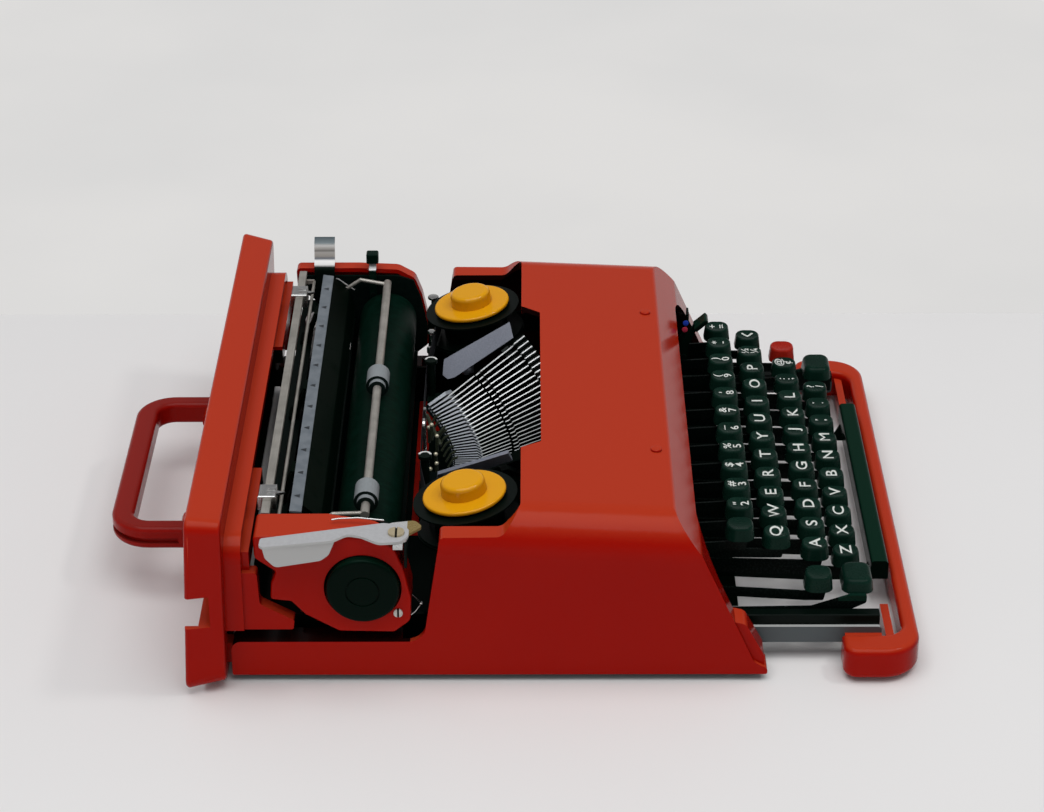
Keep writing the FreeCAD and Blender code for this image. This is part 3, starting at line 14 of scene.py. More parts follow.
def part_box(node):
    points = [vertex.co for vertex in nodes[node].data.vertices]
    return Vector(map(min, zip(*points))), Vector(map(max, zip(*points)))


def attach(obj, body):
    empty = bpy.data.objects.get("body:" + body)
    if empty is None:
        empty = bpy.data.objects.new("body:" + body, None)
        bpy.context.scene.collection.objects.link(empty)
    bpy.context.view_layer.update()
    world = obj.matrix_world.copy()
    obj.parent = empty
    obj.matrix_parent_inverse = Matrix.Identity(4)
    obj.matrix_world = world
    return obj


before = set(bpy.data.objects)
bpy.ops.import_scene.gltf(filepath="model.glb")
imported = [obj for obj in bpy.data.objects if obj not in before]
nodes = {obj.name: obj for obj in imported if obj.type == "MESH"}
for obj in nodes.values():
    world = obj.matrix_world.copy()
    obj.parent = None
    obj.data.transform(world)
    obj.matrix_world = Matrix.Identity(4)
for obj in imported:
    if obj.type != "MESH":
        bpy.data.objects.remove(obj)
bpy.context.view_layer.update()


# %% [markdown]
# ## Where things are
# The maker's drawing measures depth from the back face of the back plate, in millimetres, with the keyboard
# at the negative end. Blender works in metres from the middle of the machine's footprint. One small function
# turns a drawing place into a Blender place, so each number below can be read off the drawing.

# %% Drawing places
MIDDLE = 150.1


def at(x, y, z):
    return Vector((x, y + MIDDLE, z)) / 1000.0


for name in ("top_cover", "platen", "space_bar"):
    low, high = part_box(name)
    print(name, [round(v, 4) for v in low], [round(v, 4) for v in high])


# %% [markdown]
# ## The camera
# The photograph looks at the machine from its left end, a little from above, through a long lens. A long lens
# keeps parallel edges nearly parallel. The place, the tilt and the focal length were solved from points that
# can be found both in the photograph and on the drawing, such as the corners of the plate and the knobs.

# %% Camera
TILT = 0.5052
YAW = 0.0035
ROLL = -0.0034
DISTANCE = 1.4442
look = Vector((math.cos(TILT) * math.cos(YAW), math.cos(TILT) * math.sin(YAW), -math.sin(TILT)))
side = look.cross(Vector((0, 0, 1))).normalized()
over = side.cross(look)
right = side * math.cos(ROLL) + over * math.sin(ROLL)
above = over * math.cos(ROLL) - side * math.sin(ROLL)
eye = at(0.0, -157.8, 71.1) - look * DISTANCE
lens = bpy.data.cameras.new("camera")
lens.lens = 95.63
lens.sensor_width = 36.0
lens.clip_start = 0.05
lens.clip_end = 60.0
camera = bpy.data.objects.new("camera", lens)
bpy.context.scene.collection.objects.link(camera)
turn = Matrix((right, above, -look)).transposed().to_4x4()
camera.matrix_world = Matrix.Translation(eye) @ turn
bpy.context.scene.camera = camera
bpy.context.scene.view_settings.view_transform = "Standard"
print("camera at", [round(v, 3) for v in eye])


# %% [markdown]
# ## Writing shaders as sums
# A finish is a graph of small nodes. Wiring them one by one is long to read, so a socket is wrapped in a
# class that knows how to add, multiply and compare. `coat * 0.2 + 0.1` then makes the two Math nodes by
# itself, and `make` builds any other node from its type, its settings and what goes into its sockets.

# %% A socket that can be added and multiplied
class Wire:
    def __init__(self, tree, socket=None):
        self.tree = tree
        self.socket = socket

    def make(self, kind, settings=None, sockets=None, out=0):
        node = self.tree.nodes.new(kind)
        for name, value in (settings or {}).items():
            if name == "stops":
                ramp = node.color_ramp
                for place, shade in value[2:]:
                    ramp.elements.new(place)
                for element, (place, shade) in zip(ramp.elements, value):
                    element.position = place
                    element.color = shade
            else:
                setattr(node, name, value)
        for name, value in (sockets or {}).items():
            if isinstance(value, Wire):
                self.tree.links.new(value.socket, node.inputs[name])
            else:
                node.inputs[name].default_value = value
        return Wire(self.tree, node.outputs[out])

    def math(self, operation, *values):
        return self.make("ShaderNodeMath", {"operation": operation}, dict(enumerate((self,) + values)))

    def __add__(self, other):
        return self.math("ADD", other)

    def __mul__(self, other):
        return self.math("MULTIPLY", other)

    def __sub__(self, other):
        return self.math("SUBTRACT", other)

    def __rsub__(self, other):
        return self * -1.0 + other

    def __truediv__(self, other):
        return self.math("DIVIDE", other)

    def __gt__(self, other):
        return self.math("GREATER_THAN", other)

    def __lt__(self, other):
        return self.math("LESS_THAN", other)

    def __abs__(self):
        return self.math("ABSOLUTE")

    __radd__ = __add__
    __rmul__ = __mul__

    def parts(self):
        first = self.make("ShaderNodeSeparateXYZ", {}, {"Vector": self})
        outputs = first.socket.node.outputs
        return [Wire(self.tree, outputs[i]) for i in range(3)]

    def noise(self, scale, detail=2.0, rough=0.5):
        return self.make("ShaderNodeTexNoise", {},
                         {"Vector": self, "Scale": scale, "Detail": detail, "Roughness": rough})

    def stretched(self, x, y, z):
        return self.make("ShaderNodeMapping", {}, {"Vector": self, "Scale": (x, y, z)})

    def ramp(self, *stops):
        return self.make("ShaderNodeValToRGB", {"stops": stops}, {"Fac": self})

    def blend(self, low, high):
        return self.make("ShaderNodeMix", {"data_type": "RGBA"}, {0: self, 6: low, 7: high}, 2)

    def steps(self, low, high):
        return self.make("ShaderNodeMapRange", {"interpolation_type": "SMOOTHSTEP"},
                         {"Value": self, "From Min": low, "From Max": high})

    def bump(self, strength, depth):
        return self.make("ShaderNodeBump", {}, {"Height": self, "Strength": strength, "Distance": depth})


print("socket class ready")


# %% [markdown]
# ## Starting a finish
# Every finish starts alike: a material with the standard shader, and a wire that says where a point lies. The
# place is read in the object's own coordinates. Every solid sits at the origin, so these are the machine's
# coordinates, and a pattern runs on from one solid to the next. The object's normal says which way a face
# looks.

# %% Starting and feeding a finish
NORMAL_OUT = 1
OBJECT_OUT = 3
finishes = {}


def shade(red, green, blue):
    return (red, green, blue, 1.0)


def finish(name):
    """A new material, its shader and the wire that says where on the machine a point lies."""
    material = bpy.data.materials.new(name)
    material.use_nodes = True
    shader = material.node_tree.nodes["Principled BSDF"]
    spot = Wire(material.node_tree).make("ShaderNodeTexCoord", out=OBJECT_OUT)
    finishes[name] = material
    return shader, spot


def faces(spot):
    """Which way a surface faces: wires for right, back and up, each from -1 to 1."""
    return Wire(spot.tree).make("ShaderNodeTexCoord", out=NORMAL_OUT).parts()


def feed(shader, **values):
    """Sets or links sockets of the shader by name, with _ for a space."""
    for name, value in values.items():
        target = shader.inputs[name.replace("_", " ")]
        if isinstance(value, Wire):
            value.tree.links.new(value.socket, target)
        else:
            target.default_value = value


print("shader helper ready")


# %% [markdown]
# ## Moulded plastic
# The shell, plate, handle and bumper are glossy injection mouldings. The colour is nearly even, with a faint
# cloudiness, and the surface has the slight waviness that moulders call orange peel. Use has left fine
# scratches that only show in the gloss, so they go into the roughness and not into the colour. The tint
# follows
# the facing with painted light: faces that look up get a lighter tint, a painted highlight, and faces that
# look to the typist a deeper one, painted shade. The inner walls of the shell and the plate lie in shadow, so
# they get painted shade, nearly black, told apart by place and facing. The handle's colours are darker still,
# painted shade for the plate's shadow on it.

# %% Moulded plastics
def moulded(name, low, high, painted_top_light, painted_front_shade, rough, gloss, peel=1.0, painted_inner_shade=""):
    """A glossy moulding with painted light: lighter on top faces, deeper to the typist, painted shade inside.
    """
    shader, spot = finish(name)
    cloud = spot.noise(7.0, 3.0)
    wavy = spot.noise(240.0, 2.0)
    scuffs = spot.stretched(30.0, 260.0, 900.0).noise(1.0, 4.0, 0.7).steps(0.62, 0.8)
    rubs = spot.noise(55.0, 5.0, 0.7).steps(0.5, 0.8)
    right, back, up = faces(spot)
    tint = cloud.steps(0.3, 0.7).blend(shade(*low), shade(*high))
    # painted shade: a deeper tint on faces to the typist; painted highlight: a lighter tint on top faces
    tint = (back * -1.0).steps(0.5, 0.95).blend(tint, shade(*painted_front_shade))
    tint = up.steps(0.4, 0.9).blend(tint, shade(*painted_top_light))
    x, y, z = spot.parts()
    y = y - MIDDLE / 1000.0
    # painted shade: the inner walls of the shell and of the plate's tray are tinted nearly black
    if painted_inner_shade == "shell":
        inside = (right * x < -0.03) + (up < -0.4) + (up > 0.5) * (z < 0.0235) * (y > -0.104)
        tint = inside.math("MINIMUM", 1.0).blend(tint, shade(0.014, 0.0022, 0.0018))
    if painted_inner_shade == "plate":
        inside = (y < -0.0068) * (z < 0.070) * ((x < 0.075) + (z < 0.020)) * (x > -0.128)
        tint = inside.math("MINIMUM", 1.0).blend(tint, shade(0.004, 0.0045, 0.003))
    feed(shader, Base_Color=tint, Roughness=cloud * 0.06 + rubs * 0.08 + scuffs * 0.12 + rough,
         Normal=(wavy * 0.6 + rubs * 0.1).bump(0.10 * peel, 0.0004), Specular_IOR_Level=gloss)


# the four tones: two random ones, a lighter painted highlight for top faces, a deeper painted shade to the
# typist
RED = ((0.350, 0.0035, 0.0003), (0.380, 0.0055, 0.0006),
       (0.435, 0.0345, 0.0115), (0.225, 0.0020, 0.0003))
moulded("red_plastic", *RED, 0.13, 0.09)
moulded("red_shell", *RED, 0.13, 0.09, painted_inner_shade="shell")
moulded("red_plate", *RED, 0.13, 0.09, painted_inner_shade="plate")
# the handle's darker colours are painted shade, for the plate's shadow on it
moulded("red_handle_painted_shade", (0.26, 0.004, 0.002), (0.30, 0.006, 0.003),
        (0.235, 0.016, 0.012), (0.26, 0.004, 0.002), 0.14, 0.09)
moulded("orange_plastic", (0.62, 0.25, 0.0010), (0.66, 0.28, 0.0015),
        (0.74, 0.335, 0.004), (0.60, 0.24, 0.001), 0.12, 0.25, 0.6)
moulded("black_plastic", (0.0008, 0.0052, 0.0030), (0.0014, 0.0070, 0.0042),
        (0.0025, 0.0190, 0.0105), (0.0010, 0.0080, 0.0045), 0.17, 0.035, 0.7)
print("plastics:", len(finishes))


# %% [markdown]
# ## Metals
# Plated parts are bright, with hair scratches from handling. Ground steel is duller. They differ only in
# colour and roughness, so one function makes them. The scratches run from left to right, as the rails and
# shafts do.

# %% Bare and plated metals
HAIR_SCALE = (40.0, 900.0, 900.0)


def metal(name, dark, light, rough, metallic=1.0):
    """Bare or plated metal with hair scratches from left to right."""
    shader, spot = finish(name)
    hair = spot.stretched(*HAIR_SCALE).noise(1.0, 4.0, 0.7)
    smear = spot.noise(90.0, 4.0, 0.6)
    feed(shader, Base_Color=(smear * 0.7 + hair * 0.3).steps(0.3, 0.75).blend(shade(*dark), shade(*light)),
         Roughness=hair * 0.16 + smear * 0.12 + rough,
         Normal=hair.bump(0.08, 0.0002), Metallic=metallic)


metal("chrome_plate", (0.62, 0.62, 0.61), (0.80, 0.795, 0.78), 0.10)
metal("satin_steel", (0.33, 0.335, 0.33), (0.52, 0.52, 0.50), 0.26)
metal("black_steel", (0.002, 0.006, 0.0045), (0.008, 0.014, 0.012), 0.34, metallic=0.3)
metal("beige_alloy", (0.40, 0.38, 0.34), (0.60, 0.57, 0.52), 0.34, metallic=0.75)
metal("pale_brass", (0.50, 0.46, 0.30), (0.78, 0.74, 0.58), 0.16, metallic=0.5)
metal("old_brass", (0.30, 0.21, 0.08), (0.58, 0.45, 0.22), 0.24)
print("finishes so far:", len(finishes))


# %% [markdown]
# ## Parts with a painted bright side
# The rim of the type basket and the return lever catch the light on one side only, so that side gets a painted
# highlight and the other sides painted shade. The face's own direction tells the bright side. The basket leans
# back, so its bright side is measured along the basket's own axis and not straight up. On the basket the
# painted highlight is also dimmer towards the near end.

# %% Parts with a painted bright side
BASKET_LEAN = math.radians(46.0)
BASKET_LIE = (0.0, -math.cos(BASKET_LEAN), math.sin(BASKET_LEAN))


def topped(name, painted_shade_tone, painted_highlight_tone, rough, level=0.6, lie=(0.0, 0.0, 1.0), painted_dimming=None, metallic=0.7):
    """A dark part with a painted highlight on the faces of one side, which lie gives; it can be dimmed by
    place.
    """
    shader, spot = finish(name)
    grain = spot.noise(500.0, 4.0, 0.6)
    right, back, up = faces(spot)
    # painted highlight mask: the faces that look along lie
    painted_lit_or_bare = (right * lie[0] + back * lie[1] + up * lie[2]).steps(level - 0.12, level + 0.12)
    tone = grain.steps(0.2, 0.8).blend(shade(*[c * 0.9 for c in painted_highlight_tone]), shade(*painted_highlight_tone))
    if painted_dimming:
        x, y, z = spot.parts()
        tone = x.steps(painted_dimming[0], painted_dimming[1]).blend(shade(*painted_dimming[2]), tone)
    feed(shader, Base_Color=painted_lit_or_bare.blend(shade(*painted_shade_tone), tone), Metallic=painted_lit_or_bare * metallic,
         Roughness=grain * 0.14 + rough, Normal=grain.bump(0.08, 0.0002), Specular_IOR_Level=0.1)


# the segment: painted shade on its sides, a painted highlight along the basket's axis, dimmer near the near
# end
topped("segment_steel", (0.004, 0.008, 0.008), (0.36, 0.385, 0.42), 0.28, 0.55, BASKET_LIE,
       (-0.05, 0.0, (0.24, 0.255, 0.28)), 0.2)
# the return lever: a painted highlight on its top faces
topped("polished_lever", (0.50, 0.50, 0.49), (0.60, 0.60, 0.61), 0.14, 0.8, metallic=0.35)
print("finishes so far:", len(finishes))


# %% [markdown]
# ## Paint
# The pan, the basket's wings and the small plates are sprayed. Paint is even from afar and speckled from
# close by, and rubbed places are duller, so the speckle goes into colour and surface and the rubbing into
# roughness.

# %% Paints
def enamel(name, low, high, rough, gloss):
    """Sprayed paint: an even colour, a fine speckle and a few rubbed places."""
    shader, spot = finish(name)
    cloud = spot.noise(14.0, 3.0)
    fine = spot.noise(1300.0, 2.0)
    rub = spot.noise(60.0, 5.0, 0.7).steps(0.55, 0.75)
    feed(shader, Base_Color=(cloud * 0.7 + fine * 0.3).steps(0.35, 0.65).blend(shade(*low), shade(*high)),
         Roughness=fine * 0.10 + rub * 0.14 + rough, Specular_IOR_Level=gloss,
         Normal=fine.bump(0.12, 0.0002))


enamel("black_enamel", (0.0008, 0.0030, 0.0020), (0.0020, 0.0060, 0.0042), 0.30, 0.08)
enamel("grey_enamel", (0.19, 0.205, 0.25), (0.27, 0.285, 0.335), 0.32, 0.3)
enamel("pale_plate", (0.66, 0.64, 0.64), (0.78, 0.76, 0.76), 0.22, 0.4)
enamel("olive_steel", (0.004, 0.008, 0.004), (0.050, 0.058, 0.035), 0.26, 0.2)
enamel("blue_ink", (0.010, 0.040, 0.42), (0.020, 0.070, 0.55), 0.3, 0.2)
enamel("red_ink", (0.42, 0.020, 0.050), (0.55, 0.040, 0.080), 0.3, 0.2)
enamel("dark_green_enamel", (0.0003, 0.0022, 0.0010), (0.0008, 0.0040, 0.0020), 0.42, 0.02)
print("finishes so far:", sorted(finishes))


# %% [markdown]
# ## Rubber, ribbon and the printed scale
# The platen is hard ground rubber: nearly black with a green cast, dull, and marked by rows of type. The
# ribbon is woven cotton soaked in ink. The paper scale is blue-grey enamel with short slanted ticks at an
# even pitch, so the ticks are worked out from the place along the carriage.

# %% Rubber, ribbon, scale
TICK_Y = -49.2
TICK_HALF_PITCH = 11.2

shader, spot = finish("ground_rubber")
x, y, z = spot.parts()
lines = (x * 2500.0).math("SINE") * 0.5 + 0.5
dents = spot.stretched(1.0, 0.35, 0.35).noise(420.0, 3.0, 0.6)
tone = dents.steps(0.3, 0.75).blend(shade(0.0008, 0.0075, 0.0042), shade(0.0022, 0.0150, 0.0095))
feed(shader, Base_Color=tone, Specular_IOR_Level=0.02, Roughness=dents * 0.18 + 0.34,
     Normal=(dents * 0.8 + lines * 0.1).bump(0.20, 0.0003))

shader, spot = finish("foot_rubber")
grain = spot.noise(800.0, 3.0)
feed(shader, Base_Color=grain.blend(shade(0.010, 0.010, 0.010), shade(0.028, 0.028, 0.028)),
     Roughness=grain * 0.2 + 0.6, Normal=grain.bump(0.3, 0.0003))

shader, spot = finish("inked_cotton")
x, y, z = spot.parts()
weave = ((x * 9000.0).math("SINE") * (z * 9000.0).math("SINE")) * 0.5 + 0.5
feed(shader, Base_Color=weave.blend(shade(0.004, 0.005, 0.007), shade(0.016, 0.017, 0.022)),
     Roughness=weave * 0.2 + 0.6, Normal=weave.bump(0.4, 0.0001))

shader, spot = finish("scale_enamel")
x, y, z = spot.parts()
grain = spot.noise(160.0, 4.0)
step = (x * 1000.0 + 110.0).math("PINGPONG", TICK_HALF_PITCH)
slant = y * 1000.0 - MIDDLE - TICK_Y
tick = (abs(step + slant * 0.5) < 1.1) * (abs(slant) < 1.3)
plain = grain.steps(0.3, 0.7).blend(shade(0.115, 0.135, 0.155), shade(0.165, 0.185, 0.205))
feed(shader, Base_Color=tick.blend(plain, shade(0.02, 0.025, 0.03)), Roughness=grain * 0.15 + 0.35,
     Normal=grain.bump(0.05, 0.0002))
print("finishes so far:", len(finishes))


# %% [markdown]
# ## Parts with more than one finish
# A few solids carry two materials, such as a blackened frame with a brass screw head. Cutting the solid in
# two would be wrong, because it is one piece. So its finishes are told apart by place, in drawing
# millimetres.

# %% The carriage frame with its brass screw head
SCREW_X = -147.8
SCREW_Y = -98.7
SCREW_RADIUS = 4.062


def placed(name, rough=0.3, gloss=0.05):
    """A material whose colour the caller works out from x, y and z in drawing millimetres."""
    shader, spot = finish(name)
    grain = spot.noise(420.0, 3.0, 0.6)
    feed(shader, Roughness=grain * 0.16 + rough, Normal=grain.bump(0.06, 0.0002), Specular_IOR_Level=gloss)
    x, y, z = spot.parts()
    return shader, spot, grain, x * 1000.0, y * 1000.0 - MIDDLE, z * 1000.0


shader, spot, grain, x, y, z = placed("frame_steel")
dark = grain.blend(shade(0.0010, 0.0035, 0.0025), shade(0.005, 0.011, 0.009))
across, along = x - SCREW_X, y - SCREW_Y
head = (across * across + along * along < SCREW_RADIUS ** 2) * (z > 84.0)
slot = abs(along) < 0.55
brass = slot.blend(grain.blend(shade(0.42, 0.34, 0.20), shade(0.62, 0.54, 0.38)), shade(0.02, 0.018, 0.012))
feed(shader, Base_Color=head.blend(dark, brass), Metallic=head * 0.4)
print("brass screw head at", (SCREW_X, SCREW_Y))


# %% [markdown]
# ## The type bars
# The bars fan out round the point where the type strikes. Each is black, with a painted highlight: a thin
# bright
# line along the middle of the edge that faces that point, dimmer towards the near end. The mask asks two
# things:
# does the face look at the strike point's axis, and how far is it from the middle of its own bar, found from
# the angle round that axis.

# %% Type bar steel
AXIS_Y = -96.66
AXIS_Z = 68.88
FAN_HALF = 59.0
BARS_ACROSS_HALF = 42.0
shader, spot, grain, x, y, z = placed("bar_steel", 0.22)
right, back, up = faces(spot)
out = (y - AXIS_Y) * -math.sin(BASKET_LEAN) - (z - AXIS_Z) * math.cos(BASKET_LEAN)
radius = (x * x + out * out).math("SQRT")
toward = (back * -math.sin(BASKET_LEAN) - up * math.cos(BASKET_LEAN)) * out
inward = ((right * x + toward) / radius) * -1.0
turned = x.math("ARCTAN2", out) + math.radians(FAN_HALF)
middle = turned.math("PINGPONG", math.radians(FAN_HALF / BARS_ACROSS_HALF)) * radius
# painted highlight: a thin bright line on the edge that faces the strike point, dimmer towards the near end
painted_lit_or_bare = inward.steps(0.55, 0.75) * (middle < 0.33)
painted_glint_tone = x.steps(-55.0, 35.0).blend(shade(0.17, 0.19, 0.19), shade(0.80, 0.82, 0.82))
feed(shader, Base_Color=painted_lit_or_bare.blend(shade(0.0008, 0.0030, 0.0020), painted_glint_tone), Metallic=painted_lit_or_bare * 0.3)
print("type bars: half fan of", FAN_HALF, "degrees")


# %% [markdown]
# ## Steel with a dark or a bright end
# The chassis plates get painted shade inside the shell and are grey beyond it, with a painted highlight on the
# upper edge. The line space lever ends in a brass-coloured nose, and the cover screws have a dark slot.

# %% Chassis plates, lever nose and cover screws
shader, spot, grain, x, y, z = placed("side_steel", 0.26)
right, back, up = faces(spot)
# painted highlight on the upward faces; the plates inside the shell get painted shade
edge = up.steps(0.7, 0.95).blend(shade(0.105, 0.120, 0.125), shade(0.50, 0.51, 0.50))
feed(shader, Base_Color=(y > -236.0).blend(edge, shade(0.0015, 0.0035, 0.0028)), Metallic=0.2)

shader, spot, grain, x, y, z = placed("nose_steel", 0.2)
nose = (y < -103.6) * (x > -147.0)
feed(shader, Base_Color=nose.blend(shade(0.58, 0.58, 0.57), shade(0.30, 0.22, 0.09)), Metallic=0.35)

shader, spot, grain, x, y, z = placed("screw_steel", 0.2)
slot = abs(y + 98.6) < 0.5
tone = grain.blend(shade(0.42, 0.40, 0.36), shade(0.66, 0.64, 0.60))
feed(shader, Base_Color=slot.blend(tone, shade(0.01, 0.01, 0.01)), Metallic=(1.0 - slot) * 0.4)
print("finishes so far:", len(finishes))


# %% [markdown]
# ## The tabs of the far end
# The carriage release is a bent chrome tab that mirrors the room in bands, and the paper release is a plastic
# tip on a bright neck. The bands are a painted reflection, with painted shade low down, and a ramp along the
# tab's height draws them.

# %% Carriage release and paper release
shader, spot, grain, x, y, z = placed("tab_chrome", 0.16)
# painted reflection of the room in bands, with painted shade at the bottom
painted_reflection_bands = ((z - 80.0) * 0.05).ramp((0.0, shade(0.002, 0.006, 0.004)), (0.25, shade(0.004, 0.009, 0.006)),
                                 (0.30, shade(0.70, 0.70, 0.68)), (0.38, shade(0.80, 0.80, 0.78)),
                                 (0.43, shade(0.20, 0.22, 0.25)), (0.50, shade(0.46, 0.43, 0.39)),
                                 (0.60, shade(0.55, 0.53, 0.50)), (0.64, shade(0.26, 0.25, 0.23)),
                                 (0.70, shade(0.52, 0.50, 0.47)), (0.78, shade(0.82, 0.82, 0.80)),
                                 (0.84, shade(0.16, 0.19, 0.20)), (0.94, shade(0.07, 0.09, 0.10)))
feed(shader, Base_Color=painted_reflection_bands, Metallic=0.15)

shader, spot, grain, x, y, z = placed("tip_plastic", 0.22)
neck = (z < 86.2) * (z > 83.0)
plain = grain.blend(shade(0.0010, 0.0090, 0.0055), shade(0.0022, 0.0150, 0.0095))
feed(shader, Base_Color=neck.blend(plain, shade(0.70, 0.70, 0.69)), Metallic=neck * 0.3)
print("finishes so far:", len(finishes))


# %% [markdown]
# ## Ribbon guides, bail rollers and the pan
# A ribbon guide is a black post with a painted highlight, a bright crescent on one side of its rim. The bail
# rollers are grey rubber with dark ends. The pan is black, and red shows on it in a few places between the
# basket and the carriage.

# %% Guides, rollers and pan
GUIDE_X = 51.0
GUIDE_Y = -108.9
shader, spot, grain, x, y, z = placed("guide_steel", 0.2)
off = x + (x < 0.0) * (2.0 * GUIDE_X) - GUIDE_X
radius = (off * off + (y - GUIDE_Y) * (y - GUIDE_Y)).math("SQRT")
# painted highlight: a bright crescent on one side of the guide's rim
painted_crescent = (radius > 2.3) * (off > 0.2) * (z > 70.0)
feed(shader, Base_Color=painted_crescent.blend(shade(0.002, 0.006, 0.004), shade(0.78, 0.78, 0.76)), Metallic=painted_crescent * 0.3)

shader, spot, grain, x, y, z = placed("bail_rubber", 0.36, 0.1)
right, back, up = faces(spot)
pale = grain.blend(shade(0.21, 0.23, 0.24), shade(0.27, 0.29, 0.30))
feed(shader, Base_Color=(abs(right) > 0.7).blend(pale, shade(0.004, 0.010, 0.008)))

shader, spot, grain, x, y, z = placed("pan_enamel", 0.34)
glimpse = (y < -99.0) * ((y > -105.6) + (y > -111.0) * (x > 92.0)) * (x > -20.0)
glimpse = glimpse.math("MINIMUM", 1.0)
tone = grain.blend(shade(0.0008, 0.0030, 0.0020), shade(0.0020, 0.0060, 0.0042))
feed(shader, Base_Color=glimpse.blend(tone, shade(0.36, 0.010, 0.004)))
print("finishes so far:", len(finishes))


# %% [markdown]
# ## Key caps on their levers
# A plastic key cap and its steel lever are one solid here. The place on the machine tells them apart, so the
# finish is split by height and depth: a mask is one inside the cap's own box and nought on the lever, and it
# mixes the colour, the metal and a part of the roughness.

# %% Key finish
# each row's depth and the height of its cap tops, in drawing millimetres
KEY_ROWS = {"number": (-265.5, 64.5), "top": (-283.5, 54.2), "home": (-303.3, 44.4), "bottom": (-320.1, 34.4)}


def key_finish(name, depth, top, low=(0.0022, 0.0150, 0.0095), high=(0.0045, 0.0230, 0.0150), height=7.0,
               reach=9.0):
    """Plastic within reach of the cap's middle and its height from the top, steel elsewhere."""
    shader, spot = finish(name)
    x, y, z = spot.parts()
    cap = (abs(y - (depth + MIDDLE) / 1000.0) < reach / 1000.0) * (z > (top - height + 0.02) / 1000.0)
    cloud = spot.noise(60.0, 3.0)
    grain = spot.noise(900.0, 3.0)
    rubbed = spot.noise(140.0, 3.0)
    plastic = cloud.steps(0.3, 0.7).blend(shade(*low), shade(*high))
    steel = grain.blend(shade(0.0015, 0.0040, 0.0030), shade(0.005, 0.009, 0.0075))
    feed(shader, Base_Color=cap.blend(steel, plastic), Metallic=(1.0 - cap) * 0.3, Specular_IOR_Level=0.07,
         Roughness=cap * (rubbed * 0.14 - 0.06) + grain * 0.1 + 0.22,
         Normal=(grain * 0.7 + rubbed * 0.3).bump(0.08, 0.0003))


for name, (depth, top) in KEY_ROWS.items():
    key_finish("keys_" + name, depth, top)
key_finish("key_tab", -303.3, 46.0, (0.30, 0.012, 0.006), (0.36, 0.018, 0.009), 8.0)
key_finish("key_lock", -303.3, 41.0, height=8.0)
key_finish("keys_shift", -323.0, 37.0, height=9.6, reach=10.0)
print("key finishes done")


# %% [markdown]
# ## Giving each solid its finish
# A solid keeps its mesh and only changes material, so the whole frame is dressed by one table of names.

# %% Dress the solids
DRESS = {
    "red_plate": ["back_plate"],
    "red_handle_painted_shade": ["handle"],
    "red_plastic": ["front_bumper", "left_end_cover", "right_end_cover", "cover_rivets"],
    "red_shell": ["top_cover"],
    "orange_plastic": ["spool_cap_left", "spool_cap_right"],
    "black_plastic": ["platen_knobs", "space_bar", "ribbon_selector"],
    "pan_enamel": ["base_pan"],
    "black_enamel": ["chassis_cross_bars", "ribbon_deck", "selector_plate", "paper_pan", "spool_left",
                     "spool_right"],
    "segment_steel": ["type_segment"],
    "grey_enamel": ["basket_wings"],
    "dark_green_enamel": ["paper_table"],
    "black_steel": ["key_comb", "typebar_rest"],
    "frame_steel": ["carriage_frame"],
    "screw_steel": ["carriage_screws"],
    "tab_chrome": ["carriage_release_lever"],
    "tip_plastic": ["paper_release_lever"],
    "guide_steel": ["ribbon_guides"],
    "polished_lever": ["return_lever"],
    "nose_steel": ["line_space_lever"],
    "side_steel": ["chassis_sides"],
    "satin_steel": ["carriage_rails", "key_pivot_rod", "platen_shaft"],
    "bar_steel": ["typebars", "typebar_g"],
    "chrome_plate": ["ribbon_vibrator", "margin_stop_left", "margin_stop_right", "bell"],
    "beige_alloy": ["margin_rail", "paper_bail"],
    "old_brass": ["mainspring_drum"],
    "ground_rubber": ["platen", "feed_rollers"],
    "bail_rubber": ["bail_rollers"],
    "foot_rubber": ["rubber_feet"],
    "inked_cotton": ["ribbon_strip"],
    "scale_enamel": ["paper_scale"],
    "keys_number": ["keys_number_row", "margin_release_key"],
    "keys_top": ["keys_top_row", "backspace_key"],
    "keys_home": ["keys_home_row", "key_g"],
    "keys_bottom": ["keys_bottom_row"],
    "key_tab": ["tab_key"],
    "key_lock": ["shift_lock_key"],
    "keys_shift": ["shift_keys"],
}


def dress(solid, material):
    solid.data.materials.clear()
    solid.data.materials.append(material)


for material_name, solids in DRESS.items():
    for solid in solids:
        dress(nodes[solid], finishes[material_name])
painted_lit_or_bare = set(nodes) - {solid for solids in DRESS.values() for solid in solids}
print("dressed:", len(nodes) - len(painted_lit_or_bare), "left bare:", sorted(painted_lit_or_bare))


# %% [markdown]
# ## Making a small part
# Every added part goes through one function. It turns the outer faces outwards, shades curves smooth while it
# keeps sharp corners sharp, gives the part its finish, and ties it to the body that it moves with.

# %% One way to make a piece
SHARP_ANGLE = math.radians(35.0)
SOFT_EDGE = 0.0002


def make_piece(name, bm, finish_name, body):
    bmesh.ops.recalc_face_normals(bm, faces=bm.faces)
    mesh = bpy.data.meshes.new(name)
    bm.to_mesh(mesh)
    bm.free()
    mesh.shade_smooth()
    mesh.set_sharp_from_angle(angle=SHARP_ANGLE)
    mesh.materials.append(finishes[finish_name])
    piece = bpy.data.objects.new(name, mesh)
    bpy.context.scene.collection.objects.link(piece)
    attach(piece, body)
    print(name, "faces:", len(mesh.polygons))


def round_edges(bm, edges, soft):
    """Rounds the edges and gives the vertices of the new faces."""
    done = bmesh.ops.bevel(bm, geom=list(edges), offset=soft, offset_type="OFFSET", affect="EDGES",
                           segments=2, profile=0.5, material=-1, clamp_overlap=True)
    return {vert for face in done["faces"] for vert in face.verts}


